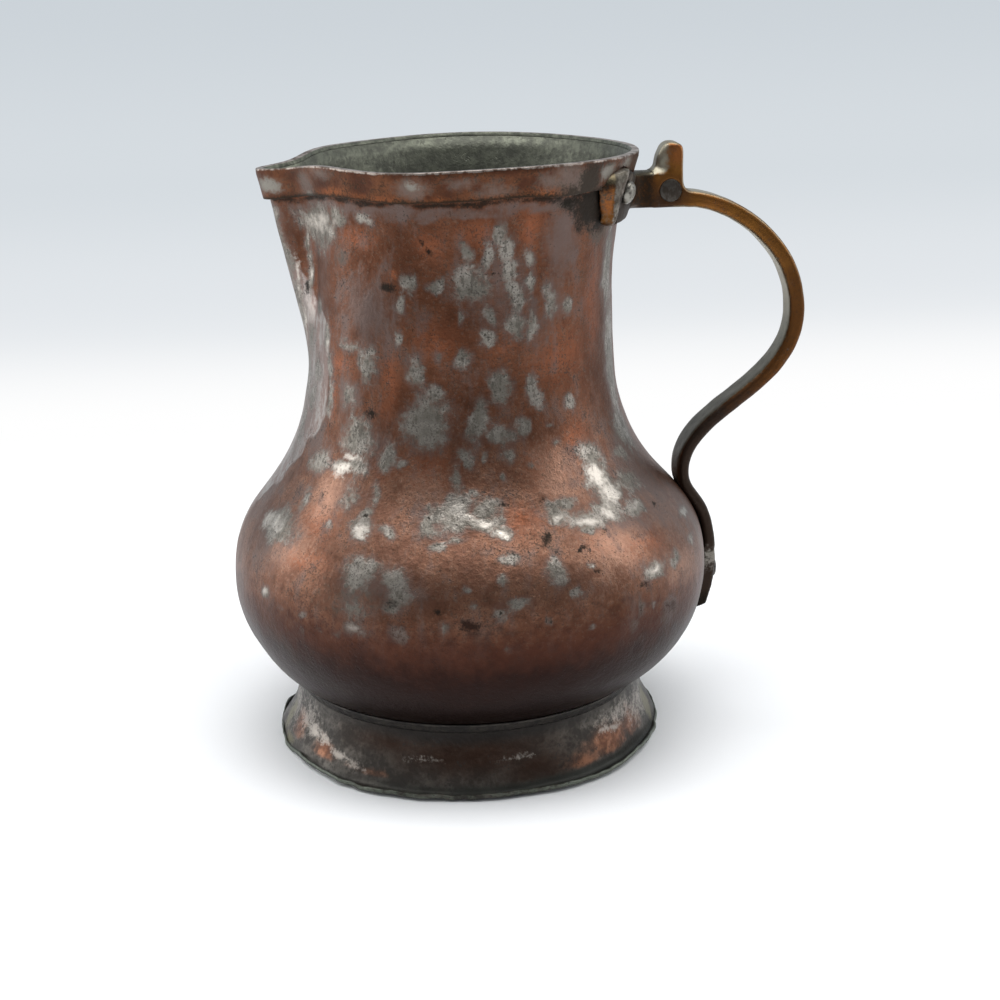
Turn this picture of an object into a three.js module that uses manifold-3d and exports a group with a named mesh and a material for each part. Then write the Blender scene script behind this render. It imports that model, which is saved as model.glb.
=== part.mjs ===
// Hand-raised copper pitcher with a cast brass handle, in millimetres, +Z up.
// While it is drawn, the vessel's axis is the Z axis, the handle lies toward +X and the spout toward -X.
import * as THREE from 'three';
import { mergeVertices } from 'three/addons/utils/BufferGeometryUtils.js';
import Module from 'manifold-3d';

const wasm = await Module();
wasm.setup();

// Driving dimensions of the raised body: outer radii, heights above the ground and how full each curve is
const WALL = 1.2;
const FLOOR_RADIUS = 28;
const FLOOR_HEIGHT = 15.5;
const FLOOR_EASE = 18;
const SEAT_RADIUS = 59;
const SEAT_HEIGHT = 24;
const SEAT_SLOPE = 27;
const SEAT_EASE_INWARD = 12;
const SEAT_EASE_OUTWARD = 13.3;
const BELLY_RADIUS = 80.8;
const BELLY_HEIGHT = 59.5;
const BELLY_EASE_DOWN = 16.4;
const BELLY_EASE_UP = 34.7;
const NECK_RADIUS = 50.2;
const NECK_HEIGHT = 145.4;
const NECK_EASE_DOWN = 60.7;
const NECK_EASE_UP = 8.6;
const MOUTH_RADIUS = 57;
const MOUTH_HEIGHT = 198.5;
const MOUTH_FLARE = 17;
const MOUTH_EASE = 26.8;

// The belly sits a little toward the handle, as hand raising left it
const BELLY_LEAN = 1.5;
const LEAN_FOOT_END = 40;
const LEAN_NECK_START = 76;
const LEAN_NECK_END = 110;

// Spout: a keel pushed out of the neck, with a pinched hollow on each flank
const KEEL_REACH = 10.3;
const KEEL_WIDTH = 8.6;
const KEEL_BOTTOM = 128;
const KEEL_TOP = 184;
const PINCH_DEPTH = 7.6;
const PINCH_ANGLE = 46;
const PINCH_WIDTH = 40;
const PINCH_BOTTOM = 140;

// The mouth dips at the spout's tip and once beside it, on the -Y side
const TIP_DIP = 3.9;
const TIP_DIP_WIDTH = 19.4;
const SIDE_DIP = 2;
const SIDE_DIP_ANGLE = 57;
const SIDE_DIP_WIDTH = 31;
const DIP_BOTTOM = 165;

// Band folded over the mouth's edge
const BAND_HEIGHT = 9.5;
const BAND_TIP_DROP = 1.2;
const BAND_TIP_WIDTH = 11;
const BAND_THICKNESS = 1.4;
const BAND_CAP = 1.2;
const BAND_EDGE_ROUND = 0.5;

// Foot ring: top seat, crease, gutter and the out-turned lip that stands on the ground
const FOOT_THICKNESS = 1.3;
const FOOT_TOP_RADIUS = 58.4;
const FOOT_CREASE_RADIUS = 61;
const FOOT_CREASE_HEIGHT = 12;
const FOOT_WAIST_EASE = 6;
const FOOT_WAIST_SPREAD = 1;
const GUTTER_RADIUS = 63.6;
const GUTTER_HEIGHT = 2.9;
const LIP_RADIUS = 67.5;
const LIP_THICKNESS = 1.7;
const LIP_EDGE = 0.4;
const REST_INNER_RADIUS = 63.4;
const REST_INNER_SLOPE = 1;
const LIP_WAVE = 0.7;
const LIP_WAVES = 5;

// The skirt runs straight out to the lip below the spout and, for a short way, below the handle
const FLARE_PUSH = 2.3;
const FLARE_WIDTH = 42;
const FOLD_WIDTH = 14;

// Bead of solder between the foot and the belly
const SOLDER_LEG = 2.4;
const SOLDER_HOLLOW = 0.4;

// Handle casting: widths across Y, thicknesses, and the bow's centre line in the XZ plane
const STRAP_WIDTH = 10;
const STRAP_CHAMFER = 0.8;
const BRIDGE_DROP = 6.7;
const BRIDGE_DEPTH = 11.8;
const BRIDGE_TOP = MOUTH_HEIGHT - BRIDGE_DROP;
const BRIDGE_UNDERSIDE = BRIDGE_TOP - BRIDGE_DEPTH;
const BOW_START = 74.5;
const BOW_START_THICKNESS = 5.4;
const BOW_START_EASE = 15.2;
const BOW_REACH = 113.7;
const BOW_REACH_HEIGHT = 144;
const BOW_REACH_THICKNESS = 5.5;
const BOW_EASE_UP = 23.9;
const BOW_EASE_DOWN = 27.9;
const THROAT_GAP = 3.6;
const THROAT_HEIGHT = 89.3;
const THROAT_THICKNESS = 4.3;
const THROAT_EASE_UP = 22.8;
const THROAT_EASE_DOWN = 6;
const LANDING_HEIGHT = 74;
const LANDING_EASE = 6;
const TAB_THICKNESS = 4.4;
const TAB_END_HEIGHT = 43;
const TAB_END_THICKNESS = 6;
const TAB_END_DROP = 2.4;
const POST_START = 66.6;
const POST_END = 73.9;
const POST_TAPER = 0.6;
const POST_RISE = 9.4;
const POST_TOP = BRIDGE_TOP + POST_RISE;
const POST_CROWN = 3;
const POST_FILLET = 3.4;

// Saddle: the casting's two wings round the neck
const SADDLE_THICKNESS = 2.4;
const SADDLE_DROP = 2.1;
const SADDLE_DEPTH = 18.4;
const SADDLE_TOP = MOUTH_HEIGHT - SADDLE_DROP;
const SADDLE_BOTTOM = SADDLE_TOP - SADDLE_DEPTH;
const WING_REACH = 38.8;
const WING_RAKE = 4.4;
const WING_SHOULDER = 31.8;
const WING_TOP_CORNER = 5.6;
const WING_LOW_CORNER = 3.6;
const WING_END_THICKNESS = 4;
const WING_END_START = 31;
const CHEEK_REACH = 6.5;
const CHEEK_HALF_WIDTH = 10.5;

// Fasteners
const RIVET_ANGLE = 26.5;
const RIVET_DROP = 9.8;
const RIVET_HEIGHT = MOUTH_HEIGHT - RIVET_DROP;
const RIVET_SHANK_RADIUS = 1.7;
const RIVET_HEAD_RADIUS = 3.8;
const RIVET_DOME = 2.8;
const RIVET_SEAT_DEPTH = 0.4;
const RIVET_SEAT_MARGIN = 0.6;
const PEEN_RADIUS = 3;
const PEEN_THICKNESS = 1.1;
const PEEN_EDGE = 0.7;
const BRIM_SHARE = 0.2;
const TAB_RIVET_HEIGHT = 53;
const TAB_RIVET_HEAD_RADIUS = 3.2;
const TAB_RIVET_DOME = 0.9;
const PIN_RADIUS = 3.3;
const PIN_X = 69.6;
const PIN_RISE = 5.6;
const PIN_HEIGHT = BRIDGE_UNDERSIDE + PIN_RISE;

// Clearances between pieces, and how finely round shapes are divided
const CLEARANCE = 0.3;
const NOTCH_CLEARANCE = 0.5;
const SOLDER_CLEARANCE = 0.36;
const SEAT_BITE = 0.2;
const CUT_MARGIN = 1;
const TANGENT_STEP = 1;
const AROUND = 60;
const CROWDING = 0.3;
const AROUND_RIVET = 20;
const AROUND_PIN = 24;
const BODY_STEPS = { floor: 4, lower: 7, shoulder: 9, upper: 6 };
const BOW_STEPS = { top: 11, back: 14, landing: 4, tab: 6 };
const FOOT_STEPS = 3;
const WING_STEPS = 4;
const FILLET_STEPS = 5;
const DOME_STEPS = 4;
const MERGE_DISTANCE = 1e-4;

const QUARTER_TURN = Math.PI / 2;
const HALF_TURN_DEGREES = 180;
const degrees = THREE.MathUtils.degToRad;
const smoothstep = THREE.MathUtils.smoothstep;
const point = (x, y) => new THREE.Vector2(x, y);

// A bell curve of height 1 at the centre
function bell(value, centre, width) {
  return Math.exp(-(((value - centre) / width) ** 2));
}

// Closed geometry to a solid that can be cut and joined
function solidFrom(geometry) {
  const bare = new THREE.BufferGeometry();
  bare.setAttribute('position', geometry.getAttribute('position'));
  bare.setIndex(geometry.index);
  const merged = mergeVertices(bare, MERGE_DISTANCE);
  const corners = merged.index.array;
  const triangles = [];
  for (let i = 0; i < corners.length; i += 3) {
    const [a, b, c] = corners.slice(i, i + 3);
    if (a !== b && b !== c && c !== a) triangles.push(a, b, c);
  }
  return new wasm.Manifold(new wasm.Mesh({
    numProp: 3,
    vertProperties: merged.getAttribute('position').array,
    triVerts: new Uint32Array(triangles),
  }));
}

// A finished solid back to a geometry for its mesh
function geometryFrom(solid) {
  const { vertProperties, triVerts } = solid.getMesh();
  const geometry = new THREE.BufferGeometry();
  geometry.setAttribute('position', new THREE.BufferAttribute(vertProperties, 3));
  geometry.setIndex(new THREE.BufferAttribute(triVerts, 1));
  geometry.computeVertexNormals();
  return geometry;
}

// A profile of (radius, height) points turned about the Z axis
function turned(profile, segments) {
  return new THREE.LatheGeometry(profile, segments).rotateX(QUARTER_TURN);
}

// A flat outline in the XZ plane given thickness along Y, centred on y = 0
function platedXZ(shape, width, chamfer) {
  const geometry = new THREE.ExtrudeGeometry(shape, {
    depth: width - 2 * chamfer,
    bevelEnabled: chamfer > 0,
    bevelThickness: chamfer,
    bevelSize: chamfer,
    bevelOffset: -chamfer,
    bevelSegments: 1,
    curveSegments: FILLET_STEPS,
  });
  return geometry.translate(0, 0, chamfer - width / 2).rotateX(QUARTER_TURN);
}

// Moves each point of an open line sideways, to the left of the way it runs
function offsetLine(line, distance) {
  return line.map((here, i) => {
    const before = line[Math.max(i - 1, 0)];
    const after = line[Math.min(i + 1, line.length - 1)];
    const along = after.clone().sub(before).normalize();
    const sideways = typeof distance === 'function' ? distance(i) : distance;
    return point(here.x - along.y * sideways, here.y + along.x * sideways);
  });
}

// A profile turned about the vessel's axis, with its divisions closer together at the spout and the handle
function vessel(profile) {
  const geometry = turned(profile, AROUND);
  const position = geometry.getAttribute('position');
  for (let i = 0; i < position.count; i += 1) {
    const radius = Math.hypot(position.getX(i), position.getY(i));
    const even = Math.atan2(position.getY(i), position.getX(i));
    const angle = even - (CROWDING * Math.sin(2 * even)) / 2;
    position.setXY(i, radius * Math.cos(angle), radius * Math.sin(angle));
  }
  return geometry;
}

// The body's outer profile from the floor's centre to the mouth, in four eased curves
function bodyProfile() {
  const seat = point(SEAT_RADIUS, SEAT_HEIGHT);
  const seatAlong = point(Math.cos(degrees(SEAT_SLOPE)), Math.sin(degrees(SEAT_SLOPE)));
  const belly = point(BELLY_RADIUS, BELLY_HEIGHT);
  const neck = point(NECK_RADIUS, NECK_HEIGHT);
  const mouth = point(MOUTH_RADIUS, MOUTH_HEIGHT);
  const flare = point(Math.sin(degrees(MOUTH_FLARE)), Math.cos(degrees(MOUTH_FLARE)));
  const floorEdge = point(FLOOR_RADIUS, FLOOR_HEIGHT);
  const floor = new THREE.CubicBezierCurve(
    floorEdge,
    point(FLOOR_RADIUS + FLOOR_EASE, FLOOR_HEIGHT),
    seat.clone().addScaledVector(seatAlong, -SEAT_EASE_INWARD),
    seat,
  );
  const lower = new THREE.CubicBezierCurve(
    seat,
    seat.clone().addScaledVector(seatAlong, SEAT_EASE_OUTWARD),
    point(BELLY_RADIUS, BELLY_HEIGHT - BELLY_EASE_DOWN),
    belly,
  );
  const shoulder = new THREE.CubicBezierCurve(
    belly,
    point(BELLY_RADIUS, BELLY_HEIGHT + BELLY_EASE_UP),
    point(NECK_RADIUS, NECK_HEIGHT - NECK_EASE_DOWN),
    neck,
  );
  const upper = new THREE.CubicBezierCurve(
    neck,
    point(NECK_RADIUS, NECK_HEIGHT + NECK_EASE_UP),
    mouth.clone().addScaledVector(flare, -MOUTH_EASE),
    mouth,
  );
  const parts = [
    [floor, BODY_STEPS.floor],
    [lower, BODY_STEPS.lower],
    [shoulder, BODY_STEPS.shoulder],
    [upper, BODY_STEPS.upper],
  ];
  const line = [point(0, FLOOR_HEIGHT), floorEdge];
  for (const [curve, steps] of parts) line.push(...curve.getPoints(steps).slice(1));
  return line;
}

const OUTER_PROFILE = bodyProfile();

// The outer profile moved outward by a clearance, or inward by a wall
function profileOffset(line, outward) {
  const moved = offsetLine(line, -outward);
  moved[0] = point(0, line[0].y - outward);
  moved[1] = point(line[1].x, line[1].y - outward);
  moved[moved.length - 1] = point(MOUTH_RADIUS + outward / Math.cos(degrees(MOUTH_FLARE)), MOUTH_HEIGHT);
  return moved;
}

// Outer radius and outward slope of the wall at a height above the seat
function wallAt(height) {
  const last = OUTER_PROFILE.length - 1;
  let i = OUTER_PROFILE.findIndex((p) => p.x >= SEAT_RADIUS);
  while (i < last - 1 && OUTER_PROFILE[i + 1].y < height) i += 1;
  const [low, high] = [OUTER_PROFILE[i], OUTER_PROFILE[i + 1]];
  const share = (height - low.y) / (high.y - low.y);
  return { radius: low.x + share * (high.x - low.x), slope: (high.x - low.x) / (high.y - low.y) };
}

// Height of the body's underside at a radius inside the seat
function undersideAt(radius) {
  const i = OUTER_PROFILE.findIndex((p) => p.x >= radius);
  const [inner, outer] = [OUTER_PROFILE[i - 1], OUTER_PROFILE[i]];
  return inner.y + ((radius - inner.x) / (outer.x - inner.x)) * (outer.y - inner.y);
}

// Hand-made shape of the body, shared by everything that fits it

function leanAt(height) {
  return BELLY_LEAN * smoothstep(height, SEAT_HEIGHT, LEAN_FOOT_END)
    * (1 - smoothstep(height, LEAN_NECK_START, LEAN_NECK_END));
}

// Angle round the axis in degrees from the spout at -X, positive toward -Y
function spoutAngle(x, y) {
  return THREE.MathUtils.radToDeg(Math.atan2(-y, -x));
}

// How far the spout pushes the wall out at an angle from it
function spoutShift(angle, height) {
  const keel = KEEL_REACH * bell(angle, 0, KEEL_WIDTH);
  const pinch = PINCH_DEPTH * (bell(angle, PINCH_ANGLE, PINCH_WIDTH) + bell(angle, -PINCH_ANGLE, PINCH_WIDTH));
  return keel * smoothstep(height, KEEL_BOTTOM, KEEL_TOP)
    - pinch * smoothstep(height, PINCH_BOTTOM, MOUTH_HEIGHT);
}

function mouthDip(angle, height) {
  const dips = TIP_DIP * bell(angle, 0, TIP_DIP_WIDTH) + SIDE_DIP * bell(angle, SIDE_DIP_ANGLE, SIDE_DIP_WIDTH);
  return dips * smoothstep(height, DIP_BOTTOM, MOUTH_HEIGHT);
}

// Gives a turned geometry the body's lean, spout and uneven mouth
function formed(geometry) {
  const position = geometry.getAttribute('position');
  for (let i = 0; i < position.count; i += 1) {
    const [x, y, height] = [position.getX(i), position.getY(i), position.getZ(i)];
    const radius = Math.hypot(x, y);
    const angle = spoutAngle(x, y);
    const scale = radius > 0 ? 1 + spoutShift(angle, height) / radius : 1;
    position.setXYZ(i, x * scale + leanAt(height), y * scale, height - mouthDip(angle, height));
  }
  return geometry;
}

// The space that the body fills, grown by a clearance, for cutting what seats on it
function bodyEnvelope(clearance) {
  const side = profileOffset(OUTER_PROFILE, clearance);
  return solidFrom(formed(vessel([...side, point(0, MOUTH_HEIGHT)])));
}

// Place on the body's outer surface at an angle from +X toward -Y, with the wall's outward direction
function wallSpot(angle, height) {
  const { radius, slope } = wallAt(height);
  const around = degrees(-angle);
  const out = new THREE.Vector3(Math.cos(around), Math.sin(around), -slope).normalize();
  const spot = new THREE.Vector3(Math.cos(around) * radius, Math.sin(around) * radius, height);
  spot.x += leanAt(height);
  return { spot, out };
}

// Moves a geometry drawn about +Z to a wall spot, with +Z outward
function setAt(geometry, { spot, out }) {
  const turn = new THREE.Quaternion().setFromUnitVectors(new THREE.Vector3(0, 0, 1), out);
  return geometry.applyQuaternion(turn).translate(spot.x, spot.y, spot.z);
}

const RIVET_SPOTS = {
  saddle_rivet_near: wallSpot(RIVET_ANGLE, RIVET_HEIGHT),
  saddle_rivet_far: wallSpot(-RIVET_ANGLE, RIVET_HEIGHT),
  tab_rivet: wallSpot(0, TAB_RIVET_HEIGHT),
};

// A round bar through the wall at a wall spot, from one depth to another along its outward direction
function bar(spot, radius, from, to) {
  const profile = [point(0, from), point(radius, from), point(radius, to), point(0, to)];
  return solidFrom(setAt(turned(profile, AROUND_RIVET), spot));
}

// Body and rim

function buildBody() {
  const inner = profileOffset(OUTER_PROFILE, -WALL).reverse();
  let body = solidFrom(formed(vessel([...OUTER_PROFILE, ...inner])));
  const holeRadius = RIVET_SHANK_RADIUS + CLEARANCE;
  for (const spot of Object.values(RIVET_SPOTS)) {
    body = body.subtract(bar(spot, holeRadius, -3 * WALL, 3 * WALL));
  }
  return body;
}

// The strip hooks over the mouth: an outer leg that follows the flare, and a cap on the edge
function buildRimBand() {
  const flare = Math.cos(degrees(MOUTH_FLARE));
  const insideLeg = (height) => wallAt(height).radius + CLEARANCE / flare;
  const outsideLeg = (height) => insideLeg(height) + BAND_THICKNESS / flare;
  const capUnder = MOUTH_HEIGHT + CLEARANCE;
  const capTop = capUnder + BAND_CAP;
  const bottom = capTop - BAND_HEIGHT;
  const middle = (bottom + capUnder) / 2;
  const mouthInside = MOUTH_RADIUS - WALL / flare;
  const section = [
    point(insideLeg(bottom), bottom),
    point(outsideLeg(bottom) - BAND_EDGE_ROUND, bottom),
    point(outsideLeg(bottom), bottom + BAND_EDGE_ROUND),
    point(outsideLeg(middle), middle),
    point(outsideLeg(capUnder), capUnder),
    point(outsideLeg(capUnder) - BAND_EDGE_ROUND, capTop),
    point(mouthInside + BAND_EDGE_ROUND, capTop),
    point(mouthInside, capTop - BAND_EDGE_ROUND),
    point(mouthInside, capUnder),
    point(insideLeg(capUnder), capUnder),
    point(insideLeg(middle), middle),
    point(insideLeg(bottom), bottom),
  ];
  const geometry = vessel(section);
  const position = geometry.getAttribute('position');
  for (let i = 0; i < position.count; i += 1) {
    const share = smoothstep(capUnder - position.getZ(i), 0, capUnder - bottom);
    const drop = BAND_TIP_DROP * bell(spoutAngle(position.getX(i), position.getY(i)), 0, BAND_TIP_WIDTH);
    position.setZ(i, position.getZ(i) - drop * share);
  }
  return solidFrom(formed(geometry)).subtract(wingPrism(NOTCH_CLEARANCE));
}

// Foot

// The foot's outer face from its seat under the belly down to the gutter
function footFace() {
  const top = undersideAt(FOOT_TOP_RADIUS) - CLEARANCE / Math.cos(degrees(SEAT_SLOPE));
  const waist = new THREE.QuadraticBezierCurve(
    point(FOOT_TOP_RADIUS, top),
    point(FOOT_TOP_RADIUS + FOOT_WAIST_SPREAD, FOOT_CREASE_HEIGHT + FOOT_WAIST_EASE),
    point(FOOT_CREASE_RADIUS, FOOT_CREASE_HEIGHT),
  );
  return [...waist.getPoints(FOOT_STEPS), point(GUTTER_RADIUS, GUTTER_HEIGHT)];
}

// How far the skirt's gutter is pushed outward where the flare runs straight
function skirtPush(angle, radius, height) {
  const places = bell(angle, 0, FLARE_WIDTH) + bell(Math.abs(angle), HALF_TURN_DEGREES, FOLD_WIDTH);
  const down = (FOOT_CREASE_HEIGHT - height) / (FOOT_CREASE_HEIGHT - GUTTER_HEIGHT);
  const inboard = 1 - smoothstep(radius, GUTTER_RADIUS + LIP_EDGE, LIP_RADIUS - LIP_EDGE);
  return FLARE_PUSH * places * THREE.MathUtils.clamp(down, 0, 1) * inboard;
}

// Radius of the foot's outer face at a height between its crease and its top
function footRadiusAt(height) {
  const face = footFace();
  const i = face.findIndex((p) => p.y <= height);
  const [high, low] = [face[i - 1], face[i]];
  return low.x + ((height - low.y) / (high.y - low.y)) * (high.x - low.x);
}

function buildFootRing() {
  const face = footFace();
  const seatInside = FOOT_TOP_RADIUS - FOOT_THICKNESS;
  const inside = offsetLine(face, -FOOT_THICKNESS);
  inside[0] = point(seatInside, undersideAt(seatInside) - CLEARANCE / Math.cos(degrees(SEAT_SLOPE)));
  inside[inside.length - 1] = point(REST_INNER_RADIUS - REST_INNER_SLOPE, FOOT_THICKNESS);
  const lip = [
    point(GUTTER_RADIUS + LIP_EDGE, LIP_THICKNESS),
    point(LIP_RADIUS - LIP_EDGE, LIP_THICKNESS),
    point(LIP_RADIUS, LIP_THICKNESS - LIP_EDGE),
    point(LIP_RADIUS, LIP_EDGE),
    point(LIP_RADIUS - LIP_EDGE, 0),
    point(REST_INNER_RADIUS, 0),
  ];
  const section = [...face, ...lip, ...inside.reverse()].reverse();
  const geometry = vessel([...section, section[0]]);
  const position = geometry.getAttribute('position');
  for (let i = 0; i < position.count; i += 1) {
    const [x, y, height] = [position.getX(i), position.getY(i), position.getZ(i)];
    const radius = Math.hypot(x, y);
    const pushed = radius + skirtPush(spoutAngle(x, y), radius, height);
    const outward = smoothstep(pushed, GUTTER_RADIUS, LIP_RADIUS);
    const wave = LIP_WAVE * Math.sin(LIP_WAVES * Math.atan2(y, x)) * outward;
    const scale = (pushed + wave) / radius;
    position.setXY(i, x * scale, y * scale);
  }
  return solidFrom(geometry);
}

// A fillet of tin in the corner between the foot's top and the belly's underside
function buildFootSolder() {
  const slope = Math.cos(degrees(SEAT_SLOPE));
  const under = (radius) => undersideAt(radius) - CLEARANCE / slope;
  const inner = FOOT_TOP_RADIUS + SOLDER_CLEARANCE;
  const low = under(inner) - SOLDER_LEG;
  const outer = inner + SOLDER_LEG;
  const foot = point(footRadiusAt(low) + SOLDER_CLEARANCE, low);
  const section = [
    foot,
    point(inner + SOLDER_LEG / 2, under(inner) - SOLDER_LEG / 2 + SOLDER_HOLLOW),
    point(outer, under(outer)),
    point(inner, under(inner)),
    foot,
  ];
  return solidFrom(vessel(section));
}

// Handle casting

// Closed outline of the two saddle wings seen along X, as (y, z) points, grown outward by a margin
function wingOutline(grow) {
  const lowReach = WING_REACH - WING_RAKE;
  const path = new THREE.Path();
  path.moveTo(0, BRIDGE_TOP);
  path.lineTo(CHEEK_HALF_WIDTH, BRIDGE_TOP);
  path.lineTo(WING_SHOULDER, SADDLE_TOP);
  path.quadraticCurveTo(WING_REACH, SADDLE_TOP, WING_REACH, SADDLE_TOP - WING_TOP_CORNER);
  path.lineTo(lowReach, SADDLE_BOTTOM + WING_LOW_CORNER);
  path.quadraticCurveTo(lowReach, SADDLE_BOTTOM, lowReach - WING_LOW_CORNER, SADDLE_BOTTOM);
  path.lineTo(CHEEK_HALF_WIDTH, SADDLE_BOTTOM);
  path.lineTo(0, BRIDGE_UNDERSIDE);
  const side = offsetLine(path.getPoints(WING_STEPS), grow);
  side[0].x = 0;
  side[side.length - 1].x = 0;
  const mirrored = side.slice(1, -1).reverse().map((p) => point(-p.x, p.y));
  return [...side, ...mirrored];
}

// The wing outline as a bar along X, from beside the axis to outside the saddle
function wingPrism(grow) {
  const geometry = new THREE.ExtrudeGeometry(new THREE.Shape(wingOutline(grow)), {
    depth: MOUTH_RADIUS,
    bevelEnabled: false,
  });
  const yzToWorld = new THREE.Matrix4().makeBasis(
    new THREE.Vector3(0, 1, 0),
    new THREE.Vector3(0, 0, 1),
    new THREE.Vector3(1, 0, 0),
  );
  return solidFrom(geometry.applyMatrix4(yzToWorld).translate(MOUTH_RADIUS / 3, 0, 0));
}

// A collar round the neck from the clearance line outward, with rounded top and bottom edges
function neckCollar(thickness) {
  const flare = Math.cos(degrees(MOUTH_FLARE));
  const [bottom, top] = [SADDLE_BOTTOM - CUT_MARGIN, SADDLE_TOP + CUT_MARGIN];
  const heights = [bottom, (2 * bottom + top) / 3, (bottom + 2 * top) / 3, top];
  const inside = heights.map((z) => point(wallAt(z).radius, z));
  const outside = heights.map((z) => point(wallAt(z).radius + (CLEARANCE + thickness) / flare, z));
  return solidFrom(vessel([...outside, ...inside.reverse(), outside[0]]));
}

// Saddle plate with thicker ends, hugging the neck on both sides of the handle
function buildSaddle() {
  const wings = wingPrism(0);
  const middleWidth = 2 * WING_END_START;
  const middle = solidFrom(
    new THREE.BoxGeometry(3 * MOUTH_RADIUS, middleWidth, MOUTH_HEIGHT).translate(0, 0, MOUTH_HEIGHT),
  );
  const plate = neckCollar(SADDLE_THICKNESS).intersect(wings);
  const ends = neckCollar(WING_END_THICKNESS).intersect(wings).subtract(middle);
  return plate.add(ends);
}

// Fillets in plan between the saddle plate and the bridge
function buildCheeks() {
  const root = wallAt(RIVET_HEIGHT).radius;
  const tip = root + CHEEK_REACH;
  const strapHalf = STRAP_WIDTH / 2;
  const shape = new THREE.Shape();
  shape.moveTo(root, -CHEEK_HALF_WIDTH);
  shape.quadraticCurveTo(root + 2 * SADDLE_THICKNESS, -strapHalf, tip, -strapHalf + STRAP_CHAMFER);
  shape.lineTo(tip, strapHalf - STRAP_CHAMFER);
  shape.quadraticCurveTo(root + 2 * SADDLE_THICKNESS, strapHalf, root, CHEEK_HALF_WIDTH);
  const depth = BRIDGE_TOP - BRIDGE_UNDERSIDE - 2 * STRAP_CHAMFER;
  const geometry = new THREE.ExtrudeGeometry(shape, { depth, bevelEnabled: false, curveSegments: FILLET_STEPS });
  return solidFrom(geometry.translate(0, 0, BRIDGE_UNDERSIDE + STRAP_CHAMFER));
}

// Bridge and thumb post in side view
function buildPost() {
  const root = wallAt(RIVET_HEIGHT).radius + SADDLE_THICKNESS / 2;
  const bowTop = BRIDGE_UNDERSIDE + BOW_START_THICKNESS;
  const crown = (POST_START + POST_END) / 2;
  const shape = new THREE.Shape();
  shape.moveTo(root, BRIDGE_UNDERSIDE);
  shape.lineTo(BOW_START, BRIDGE_UNDERSIDE);
  shape.lineTo(POST_END + POST_FILLET, BRIDGE_UNDERSIDE + SEAT_BITE);
  shape.lineTo(POST_END + POST_FILLET, bowTop - SEAT_BITE);
  shape.quadraticCurveTo(POST_END, bowTop, POST_END, bowTop + POST_FILLET);
  shape.lineTo(POST_END, POST_TOP - POST_CROWN);
  shape.quadraticCurveTo(POST_END, POST_TOP, crown, POST_TOP);
  shape.quadraticCurveTo(POST_START + POST_TAPER, POST_TOP, POST_START + POST_TAPER, POST_TOP - POST_CROWN);
  shape.lineTo(POST_START, BRIDGE_TOP + POST_FILLET);
  shape.quadraticCurveTo(POST_START, BRIDGE_TOP, POST_START - POST_FILLET, BRIDGE_TOP);
  shape.lineTo(root, BRIDGE_TOP);
  return solidFrom(platedXZ(shape, STRAP_WIDTH, STRAP_CHAMFER));
}

// Point on the belly's +X side at a height, moved outward from the wall
function onBelly(height, outward) {
  const { spot, out } = wallSpot(0, height);
  return point(spot.x + out.x * outward, spot.z + out.z * outward);
}

// The strap in side view: bow, throat and the tab that lies down the belly
function buildStrap() {
  const start = point(BOW_START, BRIDGE_UNDERSIDE + BOW_START_THICKNESS / 2);
  const reach = point(BOW_REACH, BOW_REACH_HEIGHT);
  const throatX = onBelly(THROAT_HEIGHT, 0).x + THROAT_GAP + THROAT_THICKNESS / 2;
  const throat = point(throatX, THROAT_HEIGHT);
  const landing = onBelly(LANDING_HEIGHT, CLEARANCE + TAB_THICKNESS / 2);
  const landingAlong = onBelly(LANDING_HEIGHT + TANGENT_STEP, 0).sub(onBelly(LANDING_HEIGHT, 0)).normalize();
  const bowTop = new THREE.CubicBezierCurve(
    start,
    point(start.x + BOW_START_EASE, start.y),
    point(reach.x, reach.y + BOW_EASE_UP),
    reach,
  );
  const bowBack = new THREE.CubicBezierCurve(
    reach,
    point(reach.x, reach.y - BOW_EASE_DOWN),
    point(throat.x, throat.y + THROAT_EASE_UP),
    throat,
  );
  const toBelly = new THREE.CubicBezierCurve(
    throat,
    point(throat.x, throat.y - THROAT_EASE_DOWN),
    landing.clone().addScaledVector(landingAlong, LANDING_EASE),
    landing,
  );
  const runs = [
    [bowTop, BOW_STEPS.top, BOW_START_THICKNESS, BOW_REACH_THICKNESS],
    [bowBack, BOW_STEPS.back, BOW_REACH_THICKNESS, THROAT_THICKNESS],
    [toBelly, BOW_STEPS.landing, THROAT_THICKNESS, TAB_THICKNESS],
  ];
  const centre = [start];
  const halves = [BOW_START_THICKNESS / 2];
  for (const [curve, steps, from, to] of runs) {
    curve.getPoints(steps).slice(1).forEach((place, i) => {
      centre.push(place);
      halves.push(THREE.MathUtils.lerp(from, to, (i + 1) / steps) / 2);
    });
  }
  const outer = offsetLine(centre, (i) => halves[i]);
  const inner = offsetLine(centre, (i) => -halves[i]);
  for (let i = 1; i <= BOW_STEPS.tab; i += 1) {
    const share = i / BOW_STEPS.tab;
    const height = THREE.MathUtils.lerp(LANDING_HEIGHT, TAB_END_HEIGHT, share);
    const thickness = THREE.MathUtils.lerp(TAB_THICKNESS, TAB_END_THICKNESS, share ** 2);
    outer.push(onBelly(height, CLEARANCE + thickness));
    inner.push(onBelly(height, CLEARANCE - SEAT_BITE));
  }
  outer.push(onBelly(TAB_END_HEIGHT - TAB_END_DROP, TAB_END_THICKNESS - TAB_END_DROP));
  const shape = new THREE.Shape([...outer, ...inner.reverse()]);
  return solidFrom(platedXZ(shape, STRAP_WIDTH, STRAP_CHAMFER));
}

// Hole for the cross pin, or the pin itself, as a bar along Y
function crossBar(radius, length) {
  return new THREE.CylinderGeometry(radius, radius, length, AROUND_PIN).translate(PIN_X, 0, PIN_HEIGHT);
}

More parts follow.
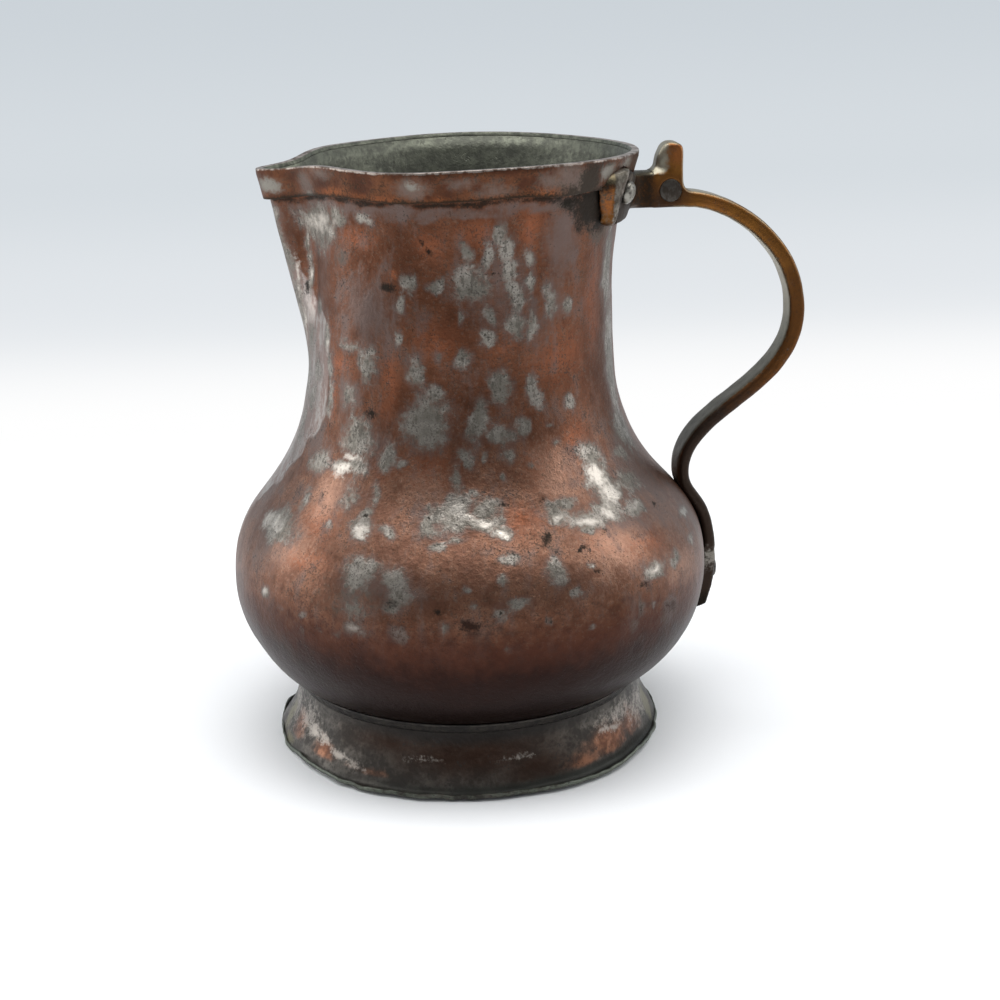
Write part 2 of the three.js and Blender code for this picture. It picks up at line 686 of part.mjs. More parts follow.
// Flat seats in the wings under the rivet heads
function rivetSeat(spot) {
  const floor = CLEARANCE + SADDLE_THICKNESS - RIVET_SEAT_DEPTH;
  return bar(spot, RIVET_HEAD_RADIUS + RIVET_SEAT_MARGIN, floor, floor + 2 * SADDLE_THICKNESS);
}

function buildHandle() {
  let handle = buildStrap().add(buildPost()).add(buildSaddle()).add(buildCheeks());
  handle = handle.subtract(bodyEnvelope(CLEARANCE));
  handle = handle.subtract(solidFrom(crossBar(PIN_RADIUS + CLEARANCE, 2 * STRAP_WIDTH)));
  handle = handle.subtract(rivetSeat(RIVET_SPOTS.saddle_rivet_near));
  handle = handle.subtract(rivetSeat(RIVET_SPOTS.saddle_rivet_far));
  const holeRadius = RIVET_SHANK_RADIUS + CLEARANCE;
  for (const spot of Object.values(RIVET_SPOTS)) {
    handle = handle.subtract(bar(spot, holeRadius, -WALL, 3 * TAB_THICKNESS));
  }
  return handle;
}

// Fasteners

// A rivet along its own axis: peened head inside the wall, which curves toward it, shank, domed head outside
function rivetGeometry(headRadius, dome, seat) {
  const peenBase = -WALL - 2 * CLEARANCE;
  const profile = [
    point(0, peenBase - PEEN_THICKNESS),
    point(PEEN_RADIUS - PEEN_EDGE, peenBase - PEEN_THICKNESS),
    point(PEEN_RADIUS, peenBase - PEEN_THICKNESS / 2),
    point(PEEN_RADIUS, peenBase),
    point(RIVET_SHANK_RADIUS, peenBase),
    point(RIVET_SHANK_RADIUS, seat),
    point(headRadius, seat),
  ];
  for (let i = 1; i <= DOME_STEPS; i += 1) {
    const turn = (i / DOME_STEPS) * QUARTER_TURN;
    const share = THREE.MathUtils.lerp(BRIM_SHARE, 1, Math.sin(turn));
    profile.push(point(headRadius * Math.cos(turn), seat + dome * share));
  }
  profile[profile.length - 1].x = 0;
  return turned(profile, AROUND_RIVET);
}

const COPPER = new THREE.MeshStandardMaterial({ color: 0x8a4b3a, roughness: 0.45, metalness: 1 });
const BAND_COPPER = new THREE.MeshStandardMaterial({ color: 0x94513f, roughness: 0.42, metalness: 1 });
const FOOT_COPPER = new THREE.MeshStandardMaterial({ color: 0x6d5045, roughness: 0.55, metalness: 1 });
const TIN = new THREE.MeshStandardMaterial({ color: 0x8d8c88, roughness: 0.5, metalness: 1 });
const BRASS = new THREE.MeshStandardMaterial({ color: 0x8a5f33, roughness: 0.4, metalness: 1 });
const IRON = new THREE.MeshStandardMaterial({ color: 0x6b6d6b, roughness: 0.55, metalness: 1 });

const pitcher = new THREE.Group();

function addPiece(name, geometry, material) {
  const mesh = new THREE.Mesh(geometry, material);
  mesh.name = name;
  pitcher.add(mesh);
  return mesh;
}

addPiece('body', geometryFrom(buildBody()), COPPER);
addPiece('rim_band', geometryFrom(buildRimBand()), BAND_COPPER);
addPiece('foot_ring', geometryFrom(buildFootRing()), FOOT_COPPER);
addPiece('foot_solder', geometryFrom(buildFootSolder()), TIN);
addPiece('handle', geometryFrom(buildHandle()), BRASS);

const saddleSeat = 2 * CLEARANCE + SADDLE_THICKNESS - RIVET_SEAT_DEPTH;
const tabThickness = TAB_THICKNESS
  + (TAB_END_THICKNESS - TAB_THICKNESS)
  * ((LANDING_HEIGHT - TAB_RIVET_HEIGHT) / (LANDING_HEIGHT - TAB_END_HEIGHT)) ** 2;
for (const [name, { spot, out }] of Object.entries(RIVET_SPOTS)) {
  const onTab = name === 'tab_rivet';
  const geometry = onTab
    ? rivetGeometry(TAB_RIVET_HEAD_RADIUS, TAB_RIVET_DOME, 2 * CLEARANCE + tabThickness)
    : rivetGeometry(RIVET_HEAD_RADIUS, RIVET_DOME, saddleSeat);
  const rivet = addPiece(name, geometryFrom(solidFrom(geometry)), TIN);
  rivet.position.copy(spot);
  rivet.quaternion.setFromUnitVectors(new THREE.Vector3(0, 0, 1), out);
}
addPiece('cross_pin', geometryFrom(solidFrom(crossBar(PIN_RADIUS, STRAP_WIDTH))), IRON);

// The part's own origin is the middle of its footprint box, on the ground
const box = new THREE.Box3().setFromObject(pitcher);
const middle = box.getCenter(new THREE.Vector3());
pitcher.position.set(-middle.x, -middle.y, -box.min.z);

export default pitcher;
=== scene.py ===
"""Copper pitcher: body, rim band, foot, solder, cast handle, rivets and pin, dressed for the shared frame."""

import logging
import math
import random
from dataclasses import dataclass
from enum import Enum
from typing import Optional, Union

import bmesh
import bpy
import numpy as np
from mathutils import Matrix, Vector, noise


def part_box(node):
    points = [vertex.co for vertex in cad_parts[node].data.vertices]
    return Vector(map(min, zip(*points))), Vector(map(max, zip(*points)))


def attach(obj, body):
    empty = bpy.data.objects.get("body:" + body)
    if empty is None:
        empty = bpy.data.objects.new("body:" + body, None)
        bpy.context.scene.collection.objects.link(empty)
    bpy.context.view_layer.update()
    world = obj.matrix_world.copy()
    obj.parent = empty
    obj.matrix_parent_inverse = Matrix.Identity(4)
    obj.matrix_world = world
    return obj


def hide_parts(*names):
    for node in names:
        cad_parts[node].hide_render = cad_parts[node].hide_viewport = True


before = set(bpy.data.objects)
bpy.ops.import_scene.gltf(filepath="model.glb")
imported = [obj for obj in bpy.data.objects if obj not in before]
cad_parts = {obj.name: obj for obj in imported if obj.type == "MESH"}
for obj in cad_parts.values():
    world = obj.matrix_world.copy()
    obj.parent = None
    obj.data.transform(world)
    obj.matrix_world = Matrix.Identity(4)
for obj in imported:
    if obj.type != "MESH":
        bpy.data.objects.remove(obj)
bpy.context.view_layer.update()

LOG = logging.getLogger("pitcher")

MM = 0.001
AXIS_X = -18.575
MERGE_DISTANCE = 1e-6
SHARP = math.radians(40)
SMOOTHING = 0.5

Value = Union[float, tuple, bpy.types.NodeSocket]
Line = list[tuple[float, float]]


class Slot(Enum):
    """Names for the material slots, which nothing in this script uses."""

    BODY = "raised_copper"
    BAND = "band_copper"
    FOOT = "foot_copper"
    SOLDER = "tin"
    HANDLE = "cast_brass"
    RIVET = "rivet_metal"
    PIN = "pin_iron"


def linear(code: str) -> tuple[float, float, float, float]:
    """Turns an sRGB hex colour to the linear one that Blender's sockets take.

    Args:
        code: The colour as six hex digits after a #.

    Returns:
        Red, green, blue and an alpha of 1.
    """
    shares = [int(code[i : i + 2], 16) / 255 for i in (1, 3, 5)]
    bent = [c / 12.92 if c <= 0.04045 else ((c + 0.055) / 1.055) ** 2.4 for c in shares]
    return (*bent, 1.0)


def bell(value: np.ndarray, centre: float, width: float) -> np.ndarray:
    """A bell curve of height 1 at the centre."""
    return np.exp(-(((value - centre) / width) ** 2))


def ease(value: np.ndarray, start: float, end: float) -> np.ndarray:
    """Rises smoothly from 0 at start to 1 at end, which may be the lower of the two."""
    share = np.clip((np.asarray(value, float) - start) / (end - start), 0.0, 1.0)
    return share * share * (3 - 2 * share)


def between(value: np.ndarray, start: float, full: float, fading: float, gone: float) -> np.ndarray:
    """Rises smoothly from 0 at start to 1 at full, and falls back from fading to 0 at gone."""
    return ease(value, start, full) * (1 - ease(value, fading, gone))


def curve_points(corners: list[tuple[float, float]], steps: int) -> Line:
    """Points along a cubic Bezier curve, without its first one.

    Args:
        corners: The curve's four control points.
        steps: How many points to give.

    Returns:
        The points after the start, up to and with the end.
    """
    shares = np.linspace(0.0, 1.0, steps + 1)[1:, None]
    a, b, c, d = (np.array(corner) for corner in corners)
    rest = 1 - shares
    line = rest**3 * a + 3 * rest**2 * shares * b + 3 * rest * shares**2 * c + shares**3 * d
    return [tuple(p) for p in line]


def lumps(places: np.ndarray, size: float, seed: float) -> np.ndarray:
    """Smooth noise from about -1 to 1 at places given in millimetres.

    Args:
        places: Points in rows.
        size: How far apart the lumps are, in millimetres.
        seed: Moves the pattern, so that two of them differ.

    Returns:
        One value for each place.
    """
    shift = Vector((seed, 0.37 * seed, -0.61 * seed))
    return np.array([noise.noise(Vector(p) / size + shift) for p in places])


@dataclass(frozen=True)
class Lumps:
    """Smooth unevenness: how far apart its lumps are in millimetres, how high they are, and a seed."""

    size: float
    depth: float
    seed: float

    def at(self, places: np.ndarray) -> np.ndarray:
        """How far the surface stands out at places in millimetres."""
        return self.depth * lumps(places, self.size, self.seed)


# How the outlines of patches wander sideways and upward, times the waver that wandered takes.
WANDERING = (
    (Lumps(9.0, 1.0, 21.0), Lumps(3.5, 0.5, 23.0)),
    (Lumps(9.0, 1.0, 26.0), Lumps(3.5, 0.5, 28.0)),
)


def offset_line(line: Line, distance: Union[float, np.ndarray]) -> Line:
    """Moves each point of an open line sideways, to the right of the way it runs.

    Args:
        line: The line's points.
        distance: How far, for all points or for each of them.

    Returns:
        The moved points.
    """
    points = np.array(line)
    along = np.gradient(points, axis=0)
    along /= np.linalg.norm(along, axis=1)[:, None]
    right = np.stack([along[:, 1], -along[:, 0]], axis=1)
    moved = points + np.broadcast_to(distance, len(points))[:, None] * right
    return [tuple(p) for p in moved]


@dataclass(frozen=True)
class VesselForm:
    """The shape that the body and everything fitted to it share, in millimetres, as the solids have it."""

    floor_radius: float = 28
    floor_height: float = 15.5
    floor_ease: float = 18
    seat_radius: float = 59
    seat_height: float = 24
    seat_slope: float = 27
    seat_ease_inward: float = 12
    seat_ease_outward: float = 13.3
    belly_radius: float = 80.8
    belly_height: float = 59.5
    belly_ease_down: float = 16.4
    belly_ease_up: float = 34.7
    neck_radius: float = 50.2
    neck_height: float = 145.4
    neck_ease_down: float = 60.7
    neck_ease_up: float = 8.6
    mouth_radius: float = 57
    mouth_height: float = 198.5
    mouth_flare: float = 17
    mouth_ease: float = 26.8
    wall: float = 1.2
    lean: float = 1.5
    lean_range: tuple = (24, 40, 76, 110)
    keel_reach: float = 10.3
    keel_width: float = 8.6
    keel_range: tuple = (128, 184)
    pinch_depth: float = 7.6
    pinch_angle: float = 46
    pinch_width: float = 40
    pinch_bottom: float = 140
    tip_dip: float = 3.9
    tip_dip_width: float = 19.4
    side_dip: float = 2
    side_dip_angle: float = 57
    side_dip_width: float = 31
    dip_bottom: float = 165
    far_lift: float = 1.0
    far_lift_angle: float = -105
    far_lift_width: float = 38
    wall_steps: tuple = (8, 60, 90, 60)
    underside_steps: tuple = (60, 60, 8, 8)

    def outer_line(self, steps: tuple[int, int, int, int]) -> Line:
        """The body's outer profile, from the floor's centre to the mouth.

        Args:
            steps: Divisions of the floor, the lower belly, the shoulder and the neck.

        Returns:
            Points as (radius, height).
        """
        slope = math.radians(self.seat_slope)
        flare = math.radians(self.mouth_flare)
        seat_along = np.array((math.cos(slope), math.sin(slope)))
        floor_edge = (self.floor_radius, self.floor_height)
        seat = (self.seat_radius, self.seat_height)
        belly = (self.belly_radius, self.belly_height)
        neck = (self.neck_radius, self.neck_height)
        mouth = (self.mouth_radius, self.mouth_height)
        inward = seat - self.seat_ease_inward * seat_along
        outward = seat + self.seat_ease_outward * seat_along
        below_mouth = mouth - self.mouth_ease * np.array((math.sin(flare), math.cos(flare)))
        curves = [
            [floor_edge, (floor_edge[0] + self.floor_ease, floor_edge[1]), inward, seat],
            [seat, outward, (belly[0], belly[1] - self.belly_ease_down), belly],
            [
                belly, (belly[0], belly[1] + self.belly_ease_up),
                (neck[0], neck[1] - self.neck_ease_down), neck,
            ],
            [neck, (neck[0], neck[1] + self.neck_ease_up), below_mouth, mouth],
        ]
        line = [(0.0, self.floor_height), floor_edge]
        for corners, count in zip(curves, steps):
            line += curve_points(corners, count)
        return line

    def wall_line(self, line: Line, outward: float) -> Line:
        """A profile moved outward, or inward by a negative distance, that still ends level with the mouth.

        Args:
            line: Points as (radius, height), from the floor's centre to the mouth.
            outward: How far it is moved.

        Returns:
            The moved points.
        """
        moved = offset_line(line, outward)
        moved[0] = (0.0, line[0][1] - outward)
        moved[1] = (line[1][0], line[1][1] - outward)
        level_outward = outward / math.cos(math.radians(self.mouth_flare))
        moved[-1] = (self.mouth_radius + level_outward, self.mouth_height)
        return moved

    def radius_at(self, height: np.ndarray) -> np.ndarray:
        """Outer radius of the wall at heights above the seat, and the mouth's radius above the mouth."""
        line = np.array(self.outer_line(self.wall_steps)[self.wall_steps[0] + 1 :])
        return np.interp(height, line[:, 1], line[:, 0])

    def underside_at(self, radius: np.ndarray) -> np.ndarray:
        """Height of the body's underside at radii within the belly's."""
        line = np.array([p for p in self.outer_line(self.underside_steps) if p[1] <= self.belly_height])
        return np.interp(radius, line[:, 0], line[:, 1])

    def lean_at(self, height: np.ndarray) -> np.ndarray:
        """How far the belly leans toward the handle."""
        return self.lean * between(height, *self.lean_range)

    def on_belly(self, height: float, outward: float) -> tuple[float, float]:
        """A point (x, height) off the wall on the handle's side, moved straight outward from the wall.

        Args:
            height: Height of the point on the wall.
            outward: How far from the wall.

        Returns:
            The point.
        """
        above, below = self.radius_at(height + 1.0), self.radius_at(height - 1.0)
        out = np.array((1.0, (below - above) / 2))
        out /= np.linalg.norm(out)
        return (self.radius_at(height) + self.lean_at(height) + out[0] * outward, height + out[1] * outward)

    def spout_shift(self, angle: np.ndarray, height: np.ndarray) -> np.ndarray:
        """How far the pinched spout pushes the wall outward.

        Args:
            angle: Degrees from the spout.
            height: Heights of the same places.

        Returns:
            One distance for each place.
        """
        keel = self.keel_reach * bell(angle, 0, self.keel_width) * ease(height, *self.keel_range)
        sides = sum(bell(angle, side * self.pinch_angle, self.pinch_width) for side in (1, -1))
        return keel - self.pinch_depth * sides * ease(height, self.pinch_bottom, self.mouth_height)

    def mouth_dip(self, angle: np.ndarray, height: np.ndarray) -> np.ndarray:
        """How far the uneven mouth drops, less the little that its far side is raised.

        Args:
            angle: Degrees from the spout.
            height: Heights of the same places.

        Returns:
            One distance for each place.
        """
        tip = self.tip_dip * bell(angle, 0, self.tip_dip_width)
        side = self.side_dip * bell(angle, self.side_dip_angle, self.side_dip_width)
        lift = self.far_lift * bell(angle, self.far_lift_angle, self.far_lift_width)
        return (tip + side - lift) * ease(height, self.dip_bottom, self.mouth_height)

    def formed(self, places: np.ndarray) -> np.ndarray:
        """Gives turned points the lean, the spout and the uneven mouth.

        Args:
            places: Points in millimetres about the vessel's axis.

        Returns:
            The same points as hammered to the vessel's shape.
        """
        x, y, height = places.T
        angle = from_spout(places)
        scale = 1 + self.spout_shift(angle, height) / np.maximum(radius_of(places), 1.0)
        lowered = height - self.mouth_dip(angle, height)
        return np.stack([x * scale + self.lean_at(height), y * scale, lowered], axis=1)


def around_of(places: np.ndarray) -> np.ndarray:
    """Angle of each place in degrees, from the handle's side toward the near side, from 0 to 360."""
    return np.degrees(np.arctan2(-places[:, 1], places[:, 0])) % 360


def from_spout(places: np.ndarray) -> np.ndarray:
    """Angle of each place in degrees from the spout, from -180 to 180."""
    return np.degrees(np.arctan2(-places[:, 1], -places[:, 0]))


def arc_from(around: np.ndarray, middle: float) -> np.ndarray:
    """How far angles are from a middle one, the shorter way round."""
    return (around - middle + 180) % 360 - 180


def radius_of(places: np.ndarray) -> np.ndarray:
    """How far each place is from the vessel's axis."""
    return np.hypot(places[:, 0], places[:, 1])


def outward_of(places: np.ndarray) -> np.ndarray:
    """Level direction from the axis to each place."""
    return places * np.array([1.0, 1.0, 0.0]) / np.maximum(radius_of(places), 1.0)[:, None]


def wandered(places: np.ndarray, waver: float) -> tuple[np.ndarray, np.ndarray]:
    """Angle and height of each place, moved a little, so that the outlines of patches wander.

    Args:
        places: Points in millimetres about the vessel's axis.
        waver: How far the outlines wander, in millimetres.

    Returns:
        Angles in degrees as around_of gives them, and heights in millimetres.
    """
    sideways, upward = (waver * sum(bend.at(places) for bend in bends) for bends in WANDERING)
    turn = np.degrees(sideways / np.maximum(radius_of(places), 1.0))
    return around_of(places) + turn, places[:, 2] + upward


def field_of(marks: list[tuple], around: np.ndarray, height: np.ndarray) -> np.ndarray:
    """How far inside its nearest patch each place lies: up to the patch's strength inside, below 0 outside.

    Args:
        marks: Patches as (angle, height, half width in degrees, half height, strength). The angle runs from
            the handle's side toward the near side, and the spout is at 180.
        around: Angles of the places in degrees.
        height: Heights of the places in millimetres.

    Returns:
        One value for each place, never under -1.
    """
    best = np.full(len(around), -1.0)
    for middle, level, wide, tall, strength in marks:
        across = arc_from(around, middle) / wide
        best = np.maximum(best, strength * (1 - np.hypot(across, (height - level) / tall)))
    return best


# Meshes


def turned(line: Line, steps: int, closed: bool) -> bmesh.types.BMesh:
    """A profile in millimetres turned about the vessel's axis.

    Args:
        line: Points as (radius, height).
        steps: Divisions round the axis.
        closed: Whether the last point joins the first.

    Returns:
        The turned surface, merged and facing outward, in millimetres about the axis.
    """
    shape = bmesh.new()
    points = [shape.verts.new((radius, 0.0, height)) for radius, height in line]
    ends = points[1:] + points[:1] if closed else points[1:]
    edges = [shape.edges.new(pair) for pair in zip(points, ends)]
    bmesh.ops.spin(
        shape, geom=points + edges, cent=(0, 0, 0), axis=(0, 0, 1), angle=2 * math.pi, steps=steps,
        use_merge=True,
    )
    bmesh.ops.remove_doubles(shape, verts=shape.verts[:], dist=MERGE_DISTANCE / MM)
    bmesh.ops.recalc_face_normals(shape, faces=shape.faces[:])
    return shape


def rounded(shape: bmesh.types.BMesh, offset: float, segments: int) -> None:
    """Rounds a shape's sharp edges."""
    edges = [e for e in shape.edges if e.is_manifold and e.calc_face_angle() > SHARP]
    bmesh.ops.bevel(
        shape, geom=edges, offset=offset, offset_type="OFFSET", affect="EDGES", segments=segments,
        profile=0.5, material=-1,
    )


def smoothed(shape: bmesh.types.BMesh, verts: list) -> None:
    """Draws vertices of a shape toward their neighbours once."""
    bmesh.ops.smooth_vert(
        shape, verts=verts, factor=SMOOTHING, use_axis_x=True, use_axis_y=True, use_axis_z=True
    )


def merged_copy(node: str) -> bmesh.types.BMesh:
    """A CAD node's mesh as a bmesh in metres, with its loose triangles joined.

    Args:
        node: The node's name.

    Returns:
        The copy.
    """
    shape = bmesh.new()
    shape.from_mesh(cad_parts[node].data)
    bmesh.ops.remove_doubles(shape, verts=shape.verts[:], dist=MERGE_DISTANCE)
    return shape


def cut_off(shape: bmesh.types.BMesh, place: tuple, beyond: tuple) -> None:
    """Cuts a closed shape off at a plane and closes the cut.

    Args:
        shape: The shape.
        place: A point on the plane.
        beyond: The direction from the plane in which the shape is removed.
    """
    geometry = shape.verts[:] + shape.edges[:] + shape.faces[:]
    cut = bmesh.ops.bisect_plane(shape, geom=geometry, plane_co=place, plane_no=beyond, clear_outer=True)
    edges = [item for item in cut["geom_cut"] if isinstance(item, bmesh.types.BMEdge)]
    bmesh.ops.holes_fill(shape, edges=edges, sides=0)


def swept(shape: bmesh.types.BMesh, corners: list[tuple], along: tuple) -> None:
    """Adds a flat face through corners to a shape, and sweeps it to a closed bar.

    Args:
        shape: The shape that takes the bar.
        corners: The face's corners in order.
        along: How far and in which direction the face is swept.
    """
    face = shape.faces.new([shape.verts.new(corner) for corner in corners])
    bar = bmesh.ops.extrude_face_region(shape, geom=[face], use_keep_orig=True)
    moved = [item for item in bar["geom"] if isinstance(item, bmesh.types.BMVert)]
    bmesh.ops.translate(shape, verts=moved, vec=along)
    bmesh.ops.recalc_face_normals(shape, faces=shape.faces[:])


def places_of(mesh: bpy.types.Mesh) -> np.ndarray:
    """A mesh's vertices in rows."""
    flat = np.empty(len(mesh.vertices) * 3, np.float32)
    mesh.vertices.foreach_get("co", flat)
    return flat.reshape(-1, 3).astype(float)


def directions_of(mesh: bpy.types.Mesh) -> np.ndarray:
    """A mesh's vertex normals in rows."""
    flat = np.empty(len(mesh.vertices) * 3, np.float32)
    mesh.vertex_normals.foreach_get("vector", flat)
    return flat.reshape(-1, 3).astype(float)


def put_places(mesh: bpy.types.Mesh, places: np.ndarray) -> None:
    """Writes rows of points back to a mesh's vertices."""
    mesh.vertices.foreach_set("co", places.astype(np.float32).ravel())
    mesh.update()


def put_masks(mesh: bpy.types.Mesh, **masks: np.ndarray) -> None:
    """Stores numbers for each vertex, which a material reads by name.

    Args:
        mesh: The mesh.
        **masks: The numbers, by name.
    """
    for name, values in masks.items():
        mask = mesh.attributes.new(name, "FLOAT", "POINT")
        mask.data.foreach_set("value", np.asarray(values).astype(np.float32))


def mesh_from(shape: bmesh.types.BMesh, name: str) -> bpy.types.Mesh:
    """A finished bmesh as a smooth-shaded mesh, and frees it.

    Args:
        shape: The bmesh.
        name: The mesh's name.

    Returns:
        The mesh.
    """
    mesh = bpy.data.meshes.new(name)
    shape.to_mesh(mesh)
    shape.free()
    mesh.shade_smooth()
    return mesh


def to_frame(places: np.ndarray) -> np.ndarray:
    """Points in millimetres about the vessel's axis to metres in the shared frame."""
    return (places + np.array([AXIS_X, 0.0, 0.0])) * MM


def from_frame(places: np.ndarray) -> np.ndarray:
    """Points in metres in the shared frame to millimetres about the vessel's axis."""
    return places / MM - np.array([AXIS_X, 0.0, 0.0])


def applied(item: bpy.types.Object) -> bpy.types.Mesh:
    """Applies an object's modifiers, and gives its new smooth-shaded mesh.

    Args:
        item: The object.

    Returns:
        The mesh.
    """
    bpy.context.view_layer.update()
    evaluated = item.evaluated_get(bpy.context.evaluated_depsgraph_get())
    made = bpy.data.meshes.new_from_object(evaluated)
    item.modifiers.clear()
    item.data = made
    made.shade_smooth()
    return made


def shown(mesh: bpy.types.Mesh, name: str) -> bpy.types.Object:
    """A new object at the origin that shows a mesh.

    Args:
        mesh: The mesh.
        name: The object's name.

    Returns:
        The object.
    """
    item = bpy.data.objects.new(name, mesh)
    bpy.context.scene.collection.objects.link(item)
    return item


def seated(item: bpy.types.Object, node: str, material: bpy.types.Material) -> bpy.types.Object:
    """Gives a piece its finish, and puts it in its CAD node's place.

    Args:
        item: The finished piece.
        node: The CAD node that it stands for.
        material: Its finish.

    Returns:
        The piece.
    """
    item.data.materials.clear()
    item.data.materials.append(material)
    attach(item, "root")
    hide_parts(node)
    LOG.info("%s: %d faces", item.name, len(item.data.polygons))
    return item


# Finishes


# Colours that more than one film has.
MOTTLE = "#3a261c"
VEIL = "#62544f"
PIT_AND_SHADOW = "#1f1b16"
INNER_LIGHT = "#65675b"
BAND_DIRT_AND_SHADE = "#29241c"
BRASS_BROWN = "#5a3a1f"
BRASS_DIRT_AND_SHADE = "#1d1813"

# How strongly a grain's finer layers show beside its coarse one.
GRAIN_ROUGHNESS = 0.55


# Grains have their real size in millimetres: clouds of patina 26, hammer faces 8 to 9, blots 3, pits about 1.
# Real grit and file lines are 0.1 to 0.2 mm, too fine for the picture, so they are drawn at 0.4 to 0.6 mm.
@dataclass(frozen=True)
class Grain:
    """Noise that mottles a finish: its lumps in mm, a shift in metres, its layers, and its run upward."""

    name: str
    size: float
    seed: float
    detail: float = 3.0
    stretch: float = 1.0


@dataclass(frozen=True)
class Spread:
    """Where a film shows, as the function spread gives it."""

    follows: str
    start: float
    full: float
    share: float
    grains: tuple[tuple[str, float], ...]


def spread(follows: str, start: float, full: float, share: float = 1.0, **grains: float) -> Spread:
    """Says where a film shows.

    Args:
        follows: The name of a grain, or of a number stored on the mesh.
        start: Where the film starts.
        full: Where it is full.
        share: How much of the film shows where it is full.
        **grains: How far each named grain moves the film's edge.

    Returns:
        The film's spread.
    """
    return Spread(follows, start, full, share, tuple(grains.items()))


@dataclass(frozen=True)
class Film:
    """One film of a finish: its colour, roughness and metal, where it shows, and the films that lie on it."""

    name: str
    colour: str
    roughness: float
    metallic: float = 1.0
    at: Optional[Spread] = None
    over: tuple["Film", ...] = ()


@dataclass(frozen=True)
class Coat:
    """Films already laid: their colour, how rough they are and how metallic."""

    colour: Value
    roughness: Value = 0.45
    metallic: Value = 1.0


class Tree:
    """A node tree while it is being made."""

    def __init__(self, owner: Union[bpy.types.Material, bpy.types.World]) -> None:
        """Empties the owner's node tree.

        Args:
            owner: A new material or world.
        """
        owner.use_nodes = True
        self.nodes, self.links = owner.node_tree.nodes, owner.node_tree.links
        self.nodes.clear()

    def add(
        self, kind: str, inputs: Optional[dict] = None, out: Union[int, str] = 0, **settings: object
    ) -> Optional[bpy.types.NodeSocket]:
        """Adds a node with its settings and links.

        Args:
            kind: Blender's name for the node.
            inputs: Values, or sockets to link, by input name or number.
            out: The output to give back.
            **settings: Properties of the node.

        Returns:
            The output, or nothing where the node has none.
        """
        made = self.nodes.new(kind)
        for key, value in settings.items():
            setattr(made, key, value)
        for key, value in (inputs or {}).items():
            if isinstance(value, bpy.types.NodeSocket):
                self.links.new(value, made.inputs[key])
            else:
                made.inputs[key].default_value = value
        return made.outputs[out] if len(made.outputs) else None


class Shading(Tree):
    """A material's nodes while it is being made, with its grains and its films' masks by name."""

    def __init__(self, name: str) -> None:
        """Starts an empty material.

        Args:
            name: The real material and how it was worked.
        """
        self.material = bpy.data.materials.new(name)
        super().__init__(self.material)
        self.place = self.add("ShaderNodeTexCoord", out="Object")
        self.grains: dict[str, bpy.types.NodeSocket] = {}
        self.masks: dict[str, bpy.types.NodeSocket] = {}

    def scatter(self, grain: Grain) -> None:
        """Makes a grain as noise about 0.5.

        Args:
            grain: Its name, size and run.
        """
        scaled = {"Vector": self.place, "Location": (grain.seed,) * 3, "Scale": (1.0, 1.0, 1 / grain.stretch)}
        where = self.add("ShaderNodeMapping", scaled)
        inputs = {"Vector": where, "Scale": 1 / (grain.size * MM), "Detail": grain.detail}
        inputs["Roughness"] = GRAIN_ROUGHNESS
        self.grains[grain.name] = self.add("ShaderNodeTexNoise", inputs, "Fac")

    def total(self, *terms: tuple[Value, float]) -> Value:
        """Adds values, each times its weight.

        Args:
            *terms: Pairs of a value and its weight.

        Returns:
            The weighted sum.
        """
        made: Value = 0.0
        for value, weight in terms:
            made = self.add("ShaderNodeMath", {0: value, 1: weight, 2: made}, operation="MULTIPLY_ADD")
        return made

    def torn(
        self, value: Union[str, Value], low: float, high: float, *grains: tuple[Value, float],
        share: float = 1.0,
    ) -> bpy.types.NodeSocket:
        """A mask whose edge is torn up by grains.

        Args:
            value: What the mask follows: a socket, or the name of a number stored on the mesh.
            low: Where the mask starts.
            high: Where it is full.
            *grains: Pairs of a grain and how far it moves the edge.
            share: How much of the film shows where the mask is full.

        Returns:
            The mask.
        """
        if isinstance(value, str):
            value = self.add("ShaderNodeAttribute", out="Fac", attribute_name=value)
        middle = sum(weight for _, weight in grains) / 2
        ends = {"From Min": low + middle, "From Max": high + middle, "To Min": 0.0, "To Max": share}
        ends["Value"] = self.total((value, 1.0), *grains)
        return self.add("ShaderNodeMapRange", ends, interpolation_type="SMOOTHSTEP")

    def lay(self, under: Coat, over: Coat, mask: Value) -> Coat:
        """Lays one coat over another where the mask is 1.

        Args:
            under: The lower coat.
            over: The upper coat.
            mask: Where the upper coat shows.

        Returns:
            The two as one coat.
        """
        colour = self.add("ShaderNodeMix", {0: mask, 6: under.colour, 7: over.colour}, 2, data_type="RGBA")
        numbers = [
            low if low == high else self.add("ShaderNodeMix", {0: mask, 2: low, 3: high}, data_type="FLOAT")
            for low, high in ((under.roughness, over.roughness), (under.metallic, over.metallic))
        ]
        return Coat(colour, *numbers)

    def grown(self, film: Film) -> Coat:
        """Lays a film and then those that lie on it, in order.

        Args:
            film: The lowest film.

        Returns:
            All of them as one coat.
        """
        coat = Coat(linear(film.colour), film.roughness, film.metallic)
        for upper in film.over:
            at = upper.at
            followed = self.grains.get(at.follows, at.follows)
            tearing = [(self.grains[name], weight) for name, weight in at.grains]
            mask = self.torn(followed, at.start, at.full, *tearing, share=at.share)
            self.masks[upper.name] = mask
            coat = self.lay(coat, self.grown(upper), mask)
        return coat

    def close(self, coat: Coat, relief: Value) -> bpy.types.Material:
        """Joins the whole coat to the surface shader.

        Args:
            coat: The whole finish.
            relief: Height in millimetres.

        Returns:
            The finished material.
        """
        inputs = {"Base Color": coat.colour, "Roughness": coat.roughness, "Metallic": coat.metallic}
        inputs["Normal"] = self.add("ShaderNodeBump", {"Height": relief, "Distance": MM})
        shader = self.add("ShaderNodeBsdfPrincipled", inputs)
        self.add("ShaderNodeOutputMaterial", {"Surface": shader})
        return self.material


